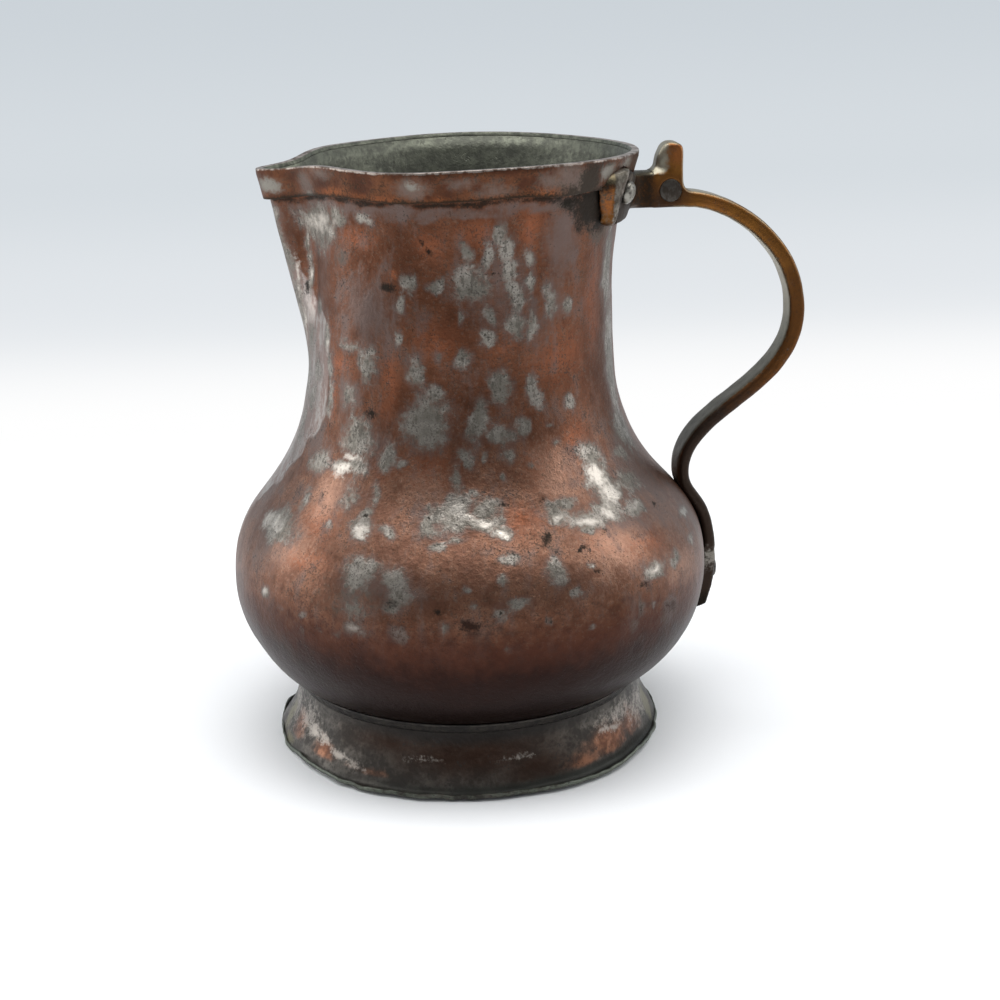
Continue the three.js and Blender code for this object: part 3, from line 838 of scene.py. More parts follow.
@dataclass(frozen=True)
class Finish:
    """A finish: its grains, its films from the metal up, and how high grains and films stand, in mm."""

    name: str
    grains: tuple[Grain, ...]
    film: Film
    relief: tuple[tuple[str, float], ...]

    def make(self) -> bpy.types.Material:
        """Builds the material."""
        s = Shading(self.name)
        for grain in self.grains:
            s.scatter(grain)
        coat = s.grown(self.film)
        heights = {**s.masks, **s.grains}
        return s.close(coat, s.total(*((heights[name], height) for name, height in self.relief)))


@dataclass(frozen=True)
class RaisedCopper(Finish):
    """Copper raised with a hammer and tinned long ago: satin brown with soft grey patches and black pits."""

    name: str = "copper_hand_raised_worn_tinning"
    grains: tuple = (
        Grain("broad", 26, 0.11), Grain("mid", 8, 0.23), Grain("small", 3.2, 0.37), Grain("fine", 1.3, 0.51),
        Grain("grit", 0.6, 0.69), Grain("dust", 0.9, 0.77, 2.0), Grain("streak", 5, 0.83, stretch=3.2),
        Grain("thread", 1.6, 0.91, stretch=5.0),
    )
    film: Film = Film("shade", "#573728", 0.46, over=(
        Film("warm", "#6d4735", 0.43, at=spread("broad", 0.3, 0.7, mid=0.6)),
        # A pinker band round the shoulder with paler patches: partly the copper's tone, partly painted
        # highlight where the top lamp falls.
        Film("shoulder", "#694c3f", 0.43, at=spread("shoulder", 0.0, 1.0, 0.85, broad=0.8, streak=0.5), over=(
            Film("shoulder_highlight", "#84614f", 0.4, at=spread("mid", 0.35, 0.65, fine=0.5)),
        )),
        Film("rubbed", "#89543c", 0.4, at=spread("fresh", -0.4, 1.0, 0.85, streak=1.2, small=0.8)),
        Film("mottle", MOTTLE, 0.5, at=spread("small", 0.42, 0.8, 0.5, fine=0.8, grit=0.5)),
        Film("bloom", "#927666", 0.42, at=spread("fine", 0.5, 0.7, 0.28, grit=0.9, mid=0.4)),
        # Painted highlight: paler, smoother copper where the lamps' highlight falls.
        Film("painted_highlight", "#a5816e", 0.38, at=spread("painted_highlight", -0.2, 0.9, 0.75, mid=0.5, fine=0.9, grit=0.8)),
        Film("pores", MOTTLE, 0.55, 0.8, spread("grit", 0.52, 0.66, 0.6, mid=0.4, fine=0.2)),
        Film("veil", VEIL, 0.44, 0.9, spread("streak", 0.48, 0.8, 0.5, mid=0.8, thread=0.4)),
        Film("veil_patches", VEIL, 0.44, 0.9, spread(
            "greyed", -0.4, 0.8, 0.8, streak=1.3, mid=0.9, thread=0.6, fine=0.5,
        )),
        # The left flank beyond the spout's crease: partly a grey veil, partly painted reflection of bright
        # surroundings at the grazing side.
        Film("flank", "#86756f", 0.4, 0.9, spread("flank", 0.2, 0.8, 0.85, streak=0.7, small=0.4), over=(
            Film("flank_light", "#a39c97", 0.34, 0.95, spread("streak", 0.4, 0.62, thread=0.8, fine=0.4)),
        )),
        Film("halo", VEIL, 0.44, 0.9, spread("tin", -0.45, 0.25, 0.55, mid=0.7, small=0.7, thread=0.6)),
        Film("tin", "#716e66", 0.4, 0.88, spread(
            "tin", -0.1, 0.52, 0.88, mid=0.7, small=1.0, fine=0.9, grit=0.6,
        ), over=(
            Film("tin_light", "#938e86", 0.33, 0.95, spread("mid", 0.38, 0.66, small=0.6)),
            Film("tin_dark", "#47443d", 0.5, 0.7, spread("thread", 0.48, 0.66, 0.65, fine=0.6, grit=0.5)),
            Film("tin_pits", PIT_AND_SHADOW, 0.6, 0.3, spread("grit", 0.56, 0.68, 0.6, small=0.4)),
        )),
        # The brightest tin, and on the shoulder a painted highlight over it.
        Film("bright_tin_and_highlight", "#c4bcb2", 0.34, 0.95, spread(
            "pale", -0.05, 0.85, 0.85, small=0.9, fine=1.0, grit=0.6,
        )),
        Film("stain", "#4c4840", 0.55, 0.6, spread("stain", -0.1, 0.8, 0.6, small=1.0, fine=0.9)),
        # Black spots and pits, and the painted shadow of the saddle wing.
        Film("black", PIT_AND_SHADOW, 0.6, 0.9, spread("dark", -0.2, 0.6, 0.9, small=0.8, fine=1.2, grit=1.0)),
        Film("pits", PIT_AND_SHADOW, 0.6, 0.3, spread("dust", 0.68, 0.77, 0.7, mid=0.6)),
        # Painted shadow under the band's lower edge.
        Film("band_shadow", PIT_AND_SHADOW, 0.6, 0.9, spread("under", 0.2, 0.9, 0.85, small=0.5, fine=0.7, grit=0.6)),
        # Painted shade and reflection: the lower belly darkens toward the floor, first brown, then near
        # black.
        Film("low_painted_shade_edge", "#3b211a", 0.44, 0.95, spread("low_painted_shade", 0.1, 0.65, 0.8, mid=0.5, small=0.4)),
        Film("low_painted_shade", "#1c0d0a", 0.42, 0.9, spread("low_painted_shade", 0.55, 1.0, 0.9, mid=0.4, small=0.2)),
        Film("inner", "#4b4c44", 0.5, 0.75, spread("inside", 0.3, 0.7), over=(
            Film("inner_light", INNER_LIGHT, 0.44, 0.8, spread("small", 0.32, 0.7, fine=0.5, mid=0.6)),
            Film("inner_pits", PIT_AND_SHADOW, 0.6, 0.4, spread("dust", 0.6, 0.78, 0.5, small=0.4)),
        )),
    ))
    relief: tuple = (
        ("tin", 0.03), ("bright_tin_and_highlight", 0.02), ("black", -0.1), ("pits", -0.08), ("small", 0.13),
        ("fine", 0.14), ("grit", 0.06), ("pores", -0.03),
    )


@dataclass(frozen=True)
class BandCopper(Finish):
    """Copper strip folded by hand: dark reddish brown, warmer where rubbed, with tin along the edge."""

    name: str = "copper_strip_folded"
    grains: tuple = (
        Grain("mid", 9, 0.13), Grain("small", 3.4, 0.29), Grain("fine", 1.3, 0.41), Grain("grit", 0.6, 0.57),
    )
    film: Film = Film("shade", "#4a2f24", 0.46, over=(
        Film("warm", "#66422f", 0.42, at=spread("mid", 0.3, 0.7, small=0.6)),
        Film("rubbed", "#8a5233", 0.4, at=spread("fresh", -0.3, 0.9, 0.85, small=0.9, fine=0.5)),
        Film("grime", BAND_DIRT_AND_SHADE, 0.5, at=spread("small", 0.45, 0.8, 0.4, fine=0.8, grit=0.4)),
        Film("specks", BAND_DIRT_AND_SHADE, 0.55, 0.7, spread("grit", 0.54, 0.66, 0.5, small=0.4)),
        Film("veil", "#6c5f58", 0.44, 0.9, spread("greyed", -0.3, 0.7, 0.8, small=0.8, fine=0.9)),
        Film("tin", "#85827a", 0.4, 0.9, spread("tin", -0.1, 0.6, 0.85, small=0.8, fine=0.9, grit=0.6)),
        # Dirt; along the lower edge and beside the saddle wings this is painted shade.
        Film("dirt", BAND_DIRT_AND_SHADE, 0.55, 0.9, spread("dark", 0.0, 0.8, 0.85, small=0.6, fine=1.0, grit=0.9)),
        Film("cap", "#5a4d45", 0.45, 0.9, spread("cap", 0.3, 0.8, 0.9, small=0.8, fine=0.8), over=(
            Film("cap_light", "#a0958d", 0.38, 0.95, spread("small", 0.36, 0.6, fine=0.6)),
        )),
        Film("inner", "#464840", 0.5, 0.75, spread("inside", 0.3, 0.7), over=(
            Film("inner_light", INNER_LIGHT, 0.44, 0.8, spread("small", 0.32, 0.7, fine=0.6)),
        )),
    ))
    relief: tuple = (("mid", 0.15), ("small", 0.14), ("fine", 0.08), ("grit", 0.03))


@dataclass(frozen=True)
class FootCopper(Finish):
    """Copper of the foot: most of the tinning has gone black-grey, with bare copper where it was handled."""

    name: str = "copper_foot_blackened_tin"
    grains: tuple = (
        Grain("mid", 9, 0.17), Grain("small", 3.2, 0.31), Grain("fine", 1.3, 0.47), Grain("grit", 0.6, 0.61),
        Grain("dust", 1.1, 0.73, 2.0),
    )
    film: Film = Film("black_tin", "#36322e", 0.48, 0.75, over=(
        Film("grey_tin", "#625d57", 0.42, 0.85, spread("mid", 0.35, 0.75, small=0.6, fine=0.4)),
        Film("brown", "#33221a", 0.46, at=spread("brown", -0.4, 0.9, 0.85, mid=1.0, small=0.7)),
        Film("copper", "#644232", 0.42, at=spread(
            "fresh", -0.3, 0.8, 0.88, mid=0.9, small=0.9, fine=0.7,
        ), over=(
            Film("copper_light", "#8a604a", 0.38, at=spread("small", 0.35, 0.68, mid=0.5)),
        )),
        Film("gutter", "#262822", 0.55, 0.4, spread("gutter", 0.1, 0.9, 0.9, small=0.7, fine=0.5)),
        Film("gutter_light", "#4d5348", 0.5, 0.5, spread("lip", 0.3, 0.9, 0.8, small=0.9, fine=0.9)),
        Film("lip", "#6b7066", 0.45, 0.7, spread("edge", 0.3, 0.9, 0.8, small=1.0, fine=0.8)),
        Film("tin", "#9a938b", 0.38, 0.95, spread("tin", -0.05, 0.75, 0.8, small=0.9, fine=1.3, grit=1.0)),
        Film("fold", "#716c54", 0.42, 0.85, spread("fold", 0.0, 0.6, 0.8, small=0.7, fine=0.5)),
        Film("shadow", "#191614", 0.55, 0.6, spread("shade", 0.2, 0.9, 0.8, mid=0.5, small=0.4)),
        Film("pits", "#1a1612", 0.6, 0.3, spread("dust", 0.62, 0.74, 0.7, mid=0.5)),
    ))
    relief: tuple = (("mid", 0.2), ("small", 0.16), ("fine", 0.1), ("grit", 0.04))


@dataclass(frozen=True)
class WipedTin(Finish):
    """Tin wiped on hot with a rag: dull dark grey with a rough, blackened skin."""

    name: str = "tin_solder_wiped"
    grains: tuple = (Grain("small", 3, 0.19), Grain("fine", 1, 0.43))
    film: Film = Film("tin", "#3f3b37", 0.48, 0.8, over=(
        Film("dirt", "#1c1815", 0.6, 0.4, spread("small", 0.36, 0.6, fine=0.6)),
    ))
    relief: tuple = (("small", 0.15), ("fine", 0.1))


@dataclass(frozen=True)
class CastBrass(Finish):
    """Sand-cast brass with an old skin: golden brown on top, brown lower, nearly black at the throat."""

    name: str = "brass_sand_cast_patinated"
    grains: tuple = (
        Grain("mid", 9, 0.15), Grain("small", 3.2, 0.33), Grain("fine", 1.2, 0.49), Grain("grit", 0.5, 0.63),
    )
    film: Film = Film("gold", "#7c5326", 0.42, over=(
        Film("brown", BRASS_BROWN, 0.45, at=spread("brown", 0.0, 1.0, mid=0.6, small=0.3)),
        Film("orange", "#8a5530", 0.4, at=spread("orange", 0.0, 0.9, 0.85, small=0.6)),
        Film("mottle", BRASS_BROWN, 0.5, at=spread("small", 0.42, 0.8, 0.35, fine=0.5)),
        Film("specks", BRASS_DIRT_AND_SHADE, 0.55, 0.6, spread("grit", 0.54, 0.7, 0.35, small=0.5)),
        Film("olive", "#969384", 0.42, 0.9, spread(
            "narrow", 0.15, 1.0, 0.88, small=0.8, fine=0.7, grit=0.5,
        ), over=(
            Film("olive_dark", "#55534a", 0.45, 0.9, spread("dull", 0.1, 1.0, small=0.6)),
        )),
        Film("green", "#7d7660", 0.42, at=spread("green", 0.2, 0.9, 0.8, small=0.6, fine=0.5)),
        # Darker toward the throat; under the bridge, painted shade.
        Film("black", "#211a16", 0.46, 0.8, spread("black", 0.1, 0.95, 0.9, mid=0.5, small=0.4)),
        Film("grey", "#4a4640", 0.5, 0.9, spread("grey", 0.1, 0.8, 0.88, small=0.7, fine=0.9), over=(
            Film("grey_light", "#837e76", 0.42, 0.95, spread("small", 0.36, 0.62, fine=0.7, grit=0.5)),
        )),
        # Lighter rims of the strap: partly wear, partly painted highlight, stronger toward the top.
        Film("edge", "#988e76", 0.38, at=spread("edge", 0.35, 0.95, 0.6, small=0.6, fine=0.4)),
        # Dirt, and painted shade round the rivet, in the recess below it and on the lower wing ends.
        Film("dirt", BRASS_DIRT_AND_SHADE, 0.6, 0.9, spread("dirt", 0.1, 0.9, 0.9, small=0.6, fine=0.9, grit=0.7)),
        Film("pits", BRASS_DIRT_AND_SHADE, 0.6, 0.4, spread("grit", 0.64, 0.78, 0.4, small=0.5)),
    ))
    relief: tuple = (("mid", 0.12), ("small", 0.1), ("fine", 0.07), ("grit", 0.03))


@dataclass(frozen=True)
class TinnedRivet(Finish):
    """Iron rivet tinned with the vessel: bright grey, with duller and blackened specks."""

    name: str = "iron_rivet_tinned"
    grains: tuple = (Grain("small", 2.2, 0.27), Grain("fine", 0.8, 0.53))
    film: Film = Film("tin", "#8b8880", 0.36, 0.95, over=(
        Film("dull", "#5f5c56", 0.45, 0.9, spread("small", 0.42, 0.6, fine=0.6)),
        Film("dirt", "#2a251f", 0.6, 0.4, spread("fine", 0.58, 0.7, 0.7, small=0.6)),
    ))
    relief: tuple = (("small", 0.12), ("fine", 0.08))


@dataclass(frozen=True)
class FiledIron(Finish):
    """Iron pin filed flush and greyed: soft dark grey with faint file lines."""

    name: str = "iron_filed"
    grains: tuple = (Grain("small", 2, 0.21), Grain("line", 0.4, 0.59, 2.0, 6.0))
    film: Film = Film("iron", "#4b4742", 0.42, 0.9, over=(
        Film("dull", "#37302a", 0.5, 0.8, spread("small", 0.36, 0.62, line=0.4)),
    ))
    relief: tuple = (("small", 0.1), ("line", 0.05))


# Patches of wear, and of painted shade and highlight

# Patches of tinning left on the copper: (angle, height, half width in degrees, half height, strength).
TIN_MARKS = [
    (179, 169, 3.2, 13, 0.8), (176.5, 150, 3.6, 13, 0.9), (175, 131, 5.5, 12, 0.7), (172, 112, 6, 9, 0.5),
    (178, 182, 3, 5, 0.8), (170, 172, 1.6, 8, 0.7), (26, 165, 5, 17, 1.1), (21, 135, 7, 22, 1.1),
    (23, 111, 8, 9, 0.9), (159.4, 180, 13, 9, 1.2), (147.2, 183.9, 6, 3.8, 0.9),
    (134.2, 184.7, 4.1, 2.2, 0.8), (168.5, 161, 1.8, 5.2, 0.9), (162.5, 153.7, 3, 3.8, 0.8),
    (153.7, 145.3, 2.8, 5.1, 0.8), (150.8, 136, 2.8, 5.8, 0.9), (150.3, 124.8, 2.7, 6.2, 0.8),
    (169.3, 141.2, 3.9, 4.8, 0.8), (161.9, 132.6, 3.3, 4.5, 0.8), (166.8, 123.5, 5.9, 5.4, 0.8),
    (139.2, 144.2, 6.5, 2.5, 0.8), (130.6, 137.5, 4.5, 6.3, 0.8), (139, 128.1, 4.7, 4.4, 0.6),
    (114.2, 163.8, 3.2, 3.7, 0.9), (104.4, 163.5, 3.3, 2.1, 1), (118.5, 157.6, 2, 2.5, 0.8),
    (118.4, 147.8, 1.9, 2.8, 0.8), (103.4, 142.1, 2.1, 1.8, 0.6), (112.1, 136.9, 4.1, 5.5, 0.9),
    (104.3, 130.3, 4.2, 3.4, 0.9), (107.4, 121.7, 9.5, 8.2, 1.1), (81.2, 180.3, 3.1, 4, 1),
    (78.6, 174.7, 3.2, 4.3, 1), (76.7, 168.5, 2.9, 3.7, 1), (76.7, 162.3, 2.6, 3.7, 0.8),
    (92.7, 174.5, 2, 4.2, 0.9), (85.9, 173.8, 2.4, 4.2, 0.9), (90.9, 164.1, 8.8, 6.4, 1.1),
    (75.2, 158.5, 3, 4.3, 1), (76.1, 150.5, 4.1, 4.3, 1), (70.9, 172.4, 2.6, 3.7, 1),
    (69.9, 163.1, 1.9, 4.4, 0.8), (69.2, 150, 2.8, 4.4, 0.8), (85.1, 154.7, 2.5, 3.7, 1),
    (95.3, 154.4, 1.4, 2.1, 0.9), (86.7, 148, 2.5, 3.1, 1), (93.5, 142.7, 3.1, 3.7, 1.1),
    (81.4, 132.2, 5.1, 5.6, 1.1), (68.7, 130.5, 3.1, 5.3, 1), (54.7, 124.3, 2.8, 3.4, 0.9),
    (89.9, 123.1, 4.1, 7.6, 1.1), (54.2, 155.3, 3, 3.4, 1), (61.6, 157.3, 3, 5.7, 0.7),
    (133.4, 116, 8, 6.6, 1), (137.1, 105.8, 5.6, 3.1, 1.2), (132, 107.1, 4.8, 3.1, 1),
    (149.2, 106.1, 6.1, 3.6, 0.9), (120.5, 111.4, 3.6, 4.4, 0.9), (115.5, 108.8, 2, 1.7, 0.9),
    (130.6, 98.1, 5, 3.4, 0.55), (123.3, 100.1, 1.7, 3.8, 0.6), (123.9, 90.9, 4.1, 3, 1.2),
    (123.4, 94.4, 1.9, 2.1, 0.9), (116.8, 91.1, 2, 1.8, 0.8), (134.5, 89.2, 1.6, 1.2, 0.6),
    (102.6, 96.6, 4, 3.2, 0.9), (105.3, 93.4, 2.5, 3.6, 0.9), (104, 87.8, 2.3, 2, 1),
    (98, 97.6, 5, 4.5, 1.1), (97, 94, 6, 3.4, 1.1), (90, 97, 5.5, 3.6, 1.1), (89.5, 93, 5.5, 2.6, 1.2),
    (85.8, 90.2, 3.4, 1.8, 1.1), (99.4, 89.4, 3.6, 1, 0.6), (98.3, 105.9, 2.2, 4, 0.9),
    (93.3, 102.4, 1.5, 1.4, 0.8), (94, 111.6, 2, 2.9, 0.9), (88.5, 111.4, 1.3, 1.2, 0.9),
    (82.8, 117, 5.8, 3, 0.9), (79.9, 111.4, 2.4, 2.4, 0.6), (83.4, 105.3, 1.6, 1.6, 0.7),
    (75.8, 119.8, 2.9, 3.6, 1), (85, 84, 2, 2, 1), (87.8, 78.5, 1.6, 1.9, 1), (121.9, 80.1, 4.2, 4.5, 0.8),
    (113, 78.5, 4.4, 3.8, 0.8), (149.2, 94.1, 2.2, 4.9, 0.8), (154.6, 85.4, 10.5, 4.4, 1),
    # The first four patches on this line are widened over the shoulder's highlight: partly tin, partly
    # painted highlight.
    (49, 106.5, 6, 5, 1.1), (50, 101, 6.5, 5, 1.2), (48, 96.5, 8, 5, 1.2), (53, 92.4, 6, 4, 1.1),
    (61, 91, 7, 3, 1.2), (63.2, 88.3, 2.5, 1.4, 1.1), (69, 94, 4.5, 3.4, 1), (64.7, 96.4, 3.9, 2.4, 1),
    (37.9, 96, 7.2, 3.6, 0.9), (42.4, 90, 5.4, 2, 1), (32.7, 104.1, 5.8, 2.9, 0.8),
    (20.6, 81.6, 4.6, 1.3, 0.8), (26.4, 75.3, 2.7, 2.2, 0.8), (75, 79.7, 2.5, 4.7, 1.1),
    (71.1, 73, 1.9, 1.7, 0.9), (65.7, 78.7, 1.3, 1, 1), (46.8, 73.4, 5.3, 2.8, 0.9),
    (37.8, 73.2, 2.7, 2.1, 0.9), (65.5, 119.9, 1.6, 1.2, 0.9), (73.4, 107.9, 1.4, 0.9, 0.6),
    (62.4, 113.3, 2.4, 1.2, 0.6), (119.5, 81.5, 3.6, 2, 0.6), (123.5, 77.1, 3.6, 3.8, 0.8),
    (111.2, 74.2, 3, 3.6, 0.7), (112.4, 70, 2.1, 2.4, 0.7), (111.4, 61.5, 2, 2.2, 0.8),
    (121.9, 68, 3.2, 3.4, 0.5), (120.8, 62.5, 3.5, 2.3, 0.7), (126, 60.1, 1.6, 1.3, 0.7),
    (131, 59.4, 1.1, 1, 0.7), (136.1, 64.4, 1.2, 1.3, 0.9), (136.4, 59, 1, 1.4, 0.8),
    (150, 66.1, 1.8, 2.5, 0.9), (143.6, 63.8, 1.2, 0.9, 0.8), (101.6, 64.7, 1.1, 2.5, 0.7),
    (95.9, 77, 0.9, 0.8, 0.8), (99, 74.2, 0.7, 2, 0.7), (94.8, 72.5, 0.9, 1.5, 0.7),
    (84.9, 72, 2.2, 2.3, 0.9), (89, 69.2, 1.8, 2.1, 0.6), (68.4, 62.2, 1, 1.3, 1),
    (78.4, 65.4, 0.7, 1.2, 0.7), (53.5, 63.6, 1, 3.5, 0.8), (49.4, 62.8, 1.1, 2, 0.8),
    (43, 57.4, 3.6, 4.7, 0.8), (45.2, 54.5, 2.2, 2.2, 0.8), (54.2, 47.9, 3, 4.2, 0.7),
    (56.1, 57.9, 1.6, 2.8, 0.7), (87.5, 57.4, 0.9, 1.3, 0.8),
]
# Where the tin is brightest; on the shoulder this is partly painted highlight.
PALE_TIN_AND_HIGHLIGHT_MARKS = [
    (175.5, 163, 1.4, 9, 0.8), (174, 146, 1.3, 8, 0.7), (158, 183, 5, 2.5, 0.8),
    (159.1, 180.5, 8.4, 4.5, 0.7), (137, 105.2, 5, 2.5, 1.2), (134.4, 109.8, 3.8, 2.3, 0.8),
    (123.7, 90.4, 3.5, 2.2, 1.1), (98, 97.1, 2.9, 2.1, 0.7), (89.8, 93.2, 4.1, 1.3, 1.2),
    (85.9, 89.9, 2.4, 1.2, 1), (94.2, 95.5, 3.3, 1.6, 0.8), (50.7, 102.5, 5, 5, 1.1),
    (48.4, 96.1, 6, 4, 1.0), (53.6, 92.1, 2.8, 2.4, 0.9), (61.8, 90.7, 4.5, 1.5, 1.1),
    (69.3, 93.6, 2.4, 1.2, 0.9), (65.7, 78.7, 1, 0.8, 1.2), (160, 85.3, 4.8, 2.9, 0.6),
    (120.8, 62.5, 2.2, 1.3, 0.7), (168.4, 162.3, 1.2, 3.2, 0.8), (152.9, 142.2, 1.5, 4.5, 0.6),
    (68.4, 62.2, 0.6, 0.8, 1), (150.1, 66.7, 1.2, 1.9, 0.7), (41.6, 90.6, 3.6, 0.9, 0.6),
    (165.7, 179.9, 3.1, 1.6, 0.8), (46.6, 73.9, 2.8, 1.1, 0.6), (20.6, 81.6, 3, 1, 0.6),
    (137.9, 102.1, 3.4, 1.6, 0.7), (155.4, 86, 4.8, 1.8, 0.6),
]
# Thin grey veils over the copper, and the tinned strips up the flanks.
GREYED_MARKS = [
    (120, 187.3, 60, 1.6, 1.1), (66, 187.3, 22, 1.6, 1.1), (30, 95, 16, 16, 0.8), (16, 75, 9, 18, 0.7),
    (176, 95, 8, 14, 0.6), (132.8, 155.4, 14.9, 10.5, 0.8), (139, 129, 6.2, 5.6, 1),
    (57.1, 176.2, 7.8, 11.3, 0.9), (60.7, 157.9, 4.4, 8.2, 0.6), (146.4, 169.7, 4.9, 3.8, 0.6),
    (175.8, 153.6, 4.4, 13.5, 0.9), (176.3, 126.6, 11.5, 15.7, 0.9), (97.9, 185.5, 33.9, 1.2, 1),
    (153.9, 111.4, 9.7, 4.5, 0.8), (126.1, 115.6, 6.3, 5.9, 0.6), (65.9, 149, 5.8, 7.5, 0.5),
    (81.1, 156.4, 10.9, 9.2, 0.4), (27.9, 166.5, 5.1, 13.4, 0.9), (23.2, 133, 7.2, 18.6, 1),
    (24.4, 110, 10.1, 5.8, 1), (27.1, 97.5, 6.7, 4, 0.9), (31.6, 89.3, 4.9, 3.1, 0.8),
    (47.5, 87.8, 10.6, 3.2, 0.6), (154.6, 80.9, 9.5, 7, 0.6), (102.6, 95.8, 8.4, 4.2, 0.5),
    (116.1, 75.4, 9.7, 6.7, 0.5), (60.5, 188.9, 6.5, 2.5, 1),
]
# Pits and small black spots; the three wider ones on the last line, by the saddle wing, are its painted
# shadow.
DARK_MARKS = [
    (122.4, 162.8, 3.9, 1.8, 0.9), (108.4, 178, 1.9, 1.8, 1.1), (106.3, 174.7, 1.8, 1.5, 1),
    (129.6, 143.6, 1.8, 1, 0.8), (111.5, 150.3, 1.1, 0.9, 0.7), (170.5, 157.5, 1.1, 2.6, 0.8),
    (87, 148.4, 0.9, 1, 0.9), (91.5, 165, 1, 0.6, 0.6), (83.1, 168.8, 1.4, 0.6, 0.8),
    (128.3, 123.4, 3.4, 2.4, 0.7), (84.8, 97.7, 1.7, 1.1, 0.8), (72.6, 97.3, 1.5, 0.8, 0.7),
    (75.6, 87.6, 1.9, 1.2, 0.9), (66.5, 84.3, 1.4, 0.8, 0.8), (58.4, 87.1, 1.2, 1, 0.8),
    (33.2, 88.9, 1.4, 0.8, 0.9), (52, 70.5, 1.9, 1.5, 0.8), (64.5, 77.3, 1.3, 0.8, 1.1),
    (102.9, 70.1, 0.9, 1.4, 0.8), (97.8, 62.9, 1, 1.9, 0.8), (94.9, 65.6, 2, 2.2, 1),
    (89, 69.5, 0.9, 0.9, 0.9), (112.4, 71.2, 1.4, 1.8, 0.6), (53.5, 64.3, 0.7, 2.9, 0.7),
    (43.1, 58.1, 2.2, 2.8, 0.7), (54.4, 48.8, 1.8, 2.4, 0.9), (78.4, 65.7, 0.6, 0.9, 0.8),
    (77.6, 59.2, 0.7, 0.6, 0.7), (104, 88.5, 0.8, 0.8, 0.7), (123.1, 93.4, 0.8, 0.6, 0.9),
    (105.4, 95.4, 0.6, 0.5, 0.9), (70, 73.9, 1, 0.5, 0.7), (84.7, 85.3, 1, 0.8, 0.5),
    # Painted shadow of the saddle wing.
    (46, 185, 9, 7.5, 1.3), (54, 188, 7, 3, 0.9), (38, 181, 7, 4, 1.0),
]
# Dull stains over the tin.
STAIN_MARKS = [
    (44.5, 184, 10, 8, 1.4), (41, 187, 9, 5, 1.6), (37, 176.5, 8, 3.5, 1.1), (55, 188, 10, 3, 0.9),
    (82.1, 132.9, 2.5, 3.1, 1), (89.9, 123.8, 2.4, 4.8, 0.9), (108.1, 122.9, 7, 3, 0.8),
    (108.4, 119.8, 5.5, 3.6, 0.4), (111.1, 73.1, 3.2, 4, 0.8), (111.4, 61.5, 1.8, 1.6, 0.8),
    (112.1, 136.3, 2.2, 3.1, 0.5), (146.4, 170.3, 4.8, 4, 0.8), (78.1, 162.4, 1.9, 4.3, 0.4),
    (90.9, 162.9, 4.9, 3, 0.4), (114.5, 78.3, 2.9, 2.1, 0.6), (121.9, 68, 3.5, 2.8, 0.7),
    (82.1, 116.4, 4.1, 1.8, 0.4), (75.3, 87.6, 3.2, 2.2, 0.6), (67.9, 95.3, 1.8, 1.3, 0.4),
    (167.8, 59, 6.2, 9.9, 0.4), (123.2, 71.4, 10.3, 5.9, 0.4), (93.4, 64.6, 6.5, 6.2, 0.3),
]
# Copper rubbed to a warmer colour.
FRESH_MARKS = [
    (121.3, 133.9, 3.6, 11.8, 1.1), (148.1, 127.7, 2.8, 9.4, 0.8), (144.9, 137.2, 5.5, 3.2, 0.9),
    (119.1, 166.6, 2.1, 1.5, 1.2), (106.9, 176.8, 6.8, 5.5, 0.8), (135.8, 177.9, 9.4, 3.7, 0.7),
    (70.1, 181.6, 5.1, 6.8, 0.9), (38.2, 155.1, 5.4, 19.3, 0.9), (102.5, 147.7, 9.2, 7.3, 0.8),
    (57.4, 138.6, 12.5, 8.2, 0.8), (88.6, 179.9, 7.4, 4.9, 0.7), (68.8, 106.1, 9, 8.4, 1),
    (61.2, 84.1, 6.8, 4, 0.9), (139, 90.6, 7.9, 6.4, 0.8), (140, 79.2, 8, 3.6, 0.7),
    (109.1, 108, 13.1, 6.3, 0.6), (80.6, 93.6, 5, 4.1, 0.4), (54.6, 113, 6.1, 5.9, 0.7),
    (81.4, 144.1, 5.1, 3.8, 0.5), (49.2, 81.1, 10, 2.9, 0.5), (161.1, 173, 9.5, 2.6, 0.6),
]
# Painted highlight: places where the lamps' highlight falls, given paler and smoother copper.
PAINTED_HIGHLIGHT_MARKS = [
    (66, 104, 11, 13, 1.0), (58, 84, 13, 11, 0.9), (139, 96, 10, 9, 0.9), (146, 82, 10, 9, 0.8),
    (107, 103, 10, 6, 0.5), (32, 92, 13, 13, 0.6), (36, 70, 9, 7, 0.7), (250, 96, 16, 10, 0.8),
    (310, 88, 14, 10, 0.8), (215, 90, 12, 9, 0.7),
]

# The body's films with their patches, and for the far side a count and the least and greatest half width.
BODY_PATCHES = {
    "tin": (TIN_MARKS, (135, 1.5, 8)),
    "pale": (PALE_TIN_AND_HIGHLIGHT_MARKS, (24, 1, 5)),
    "greyed": (GREYED_MARKS, (26, 5, 15)),
    "dark": (DARK_MARKS, (42, 0.8, 2.6)),
    "stain": (STAIN_MARKS, (20, 2, 7)),
    "fresh": (FRESH_MARKS, (22, 4, 12)),
}

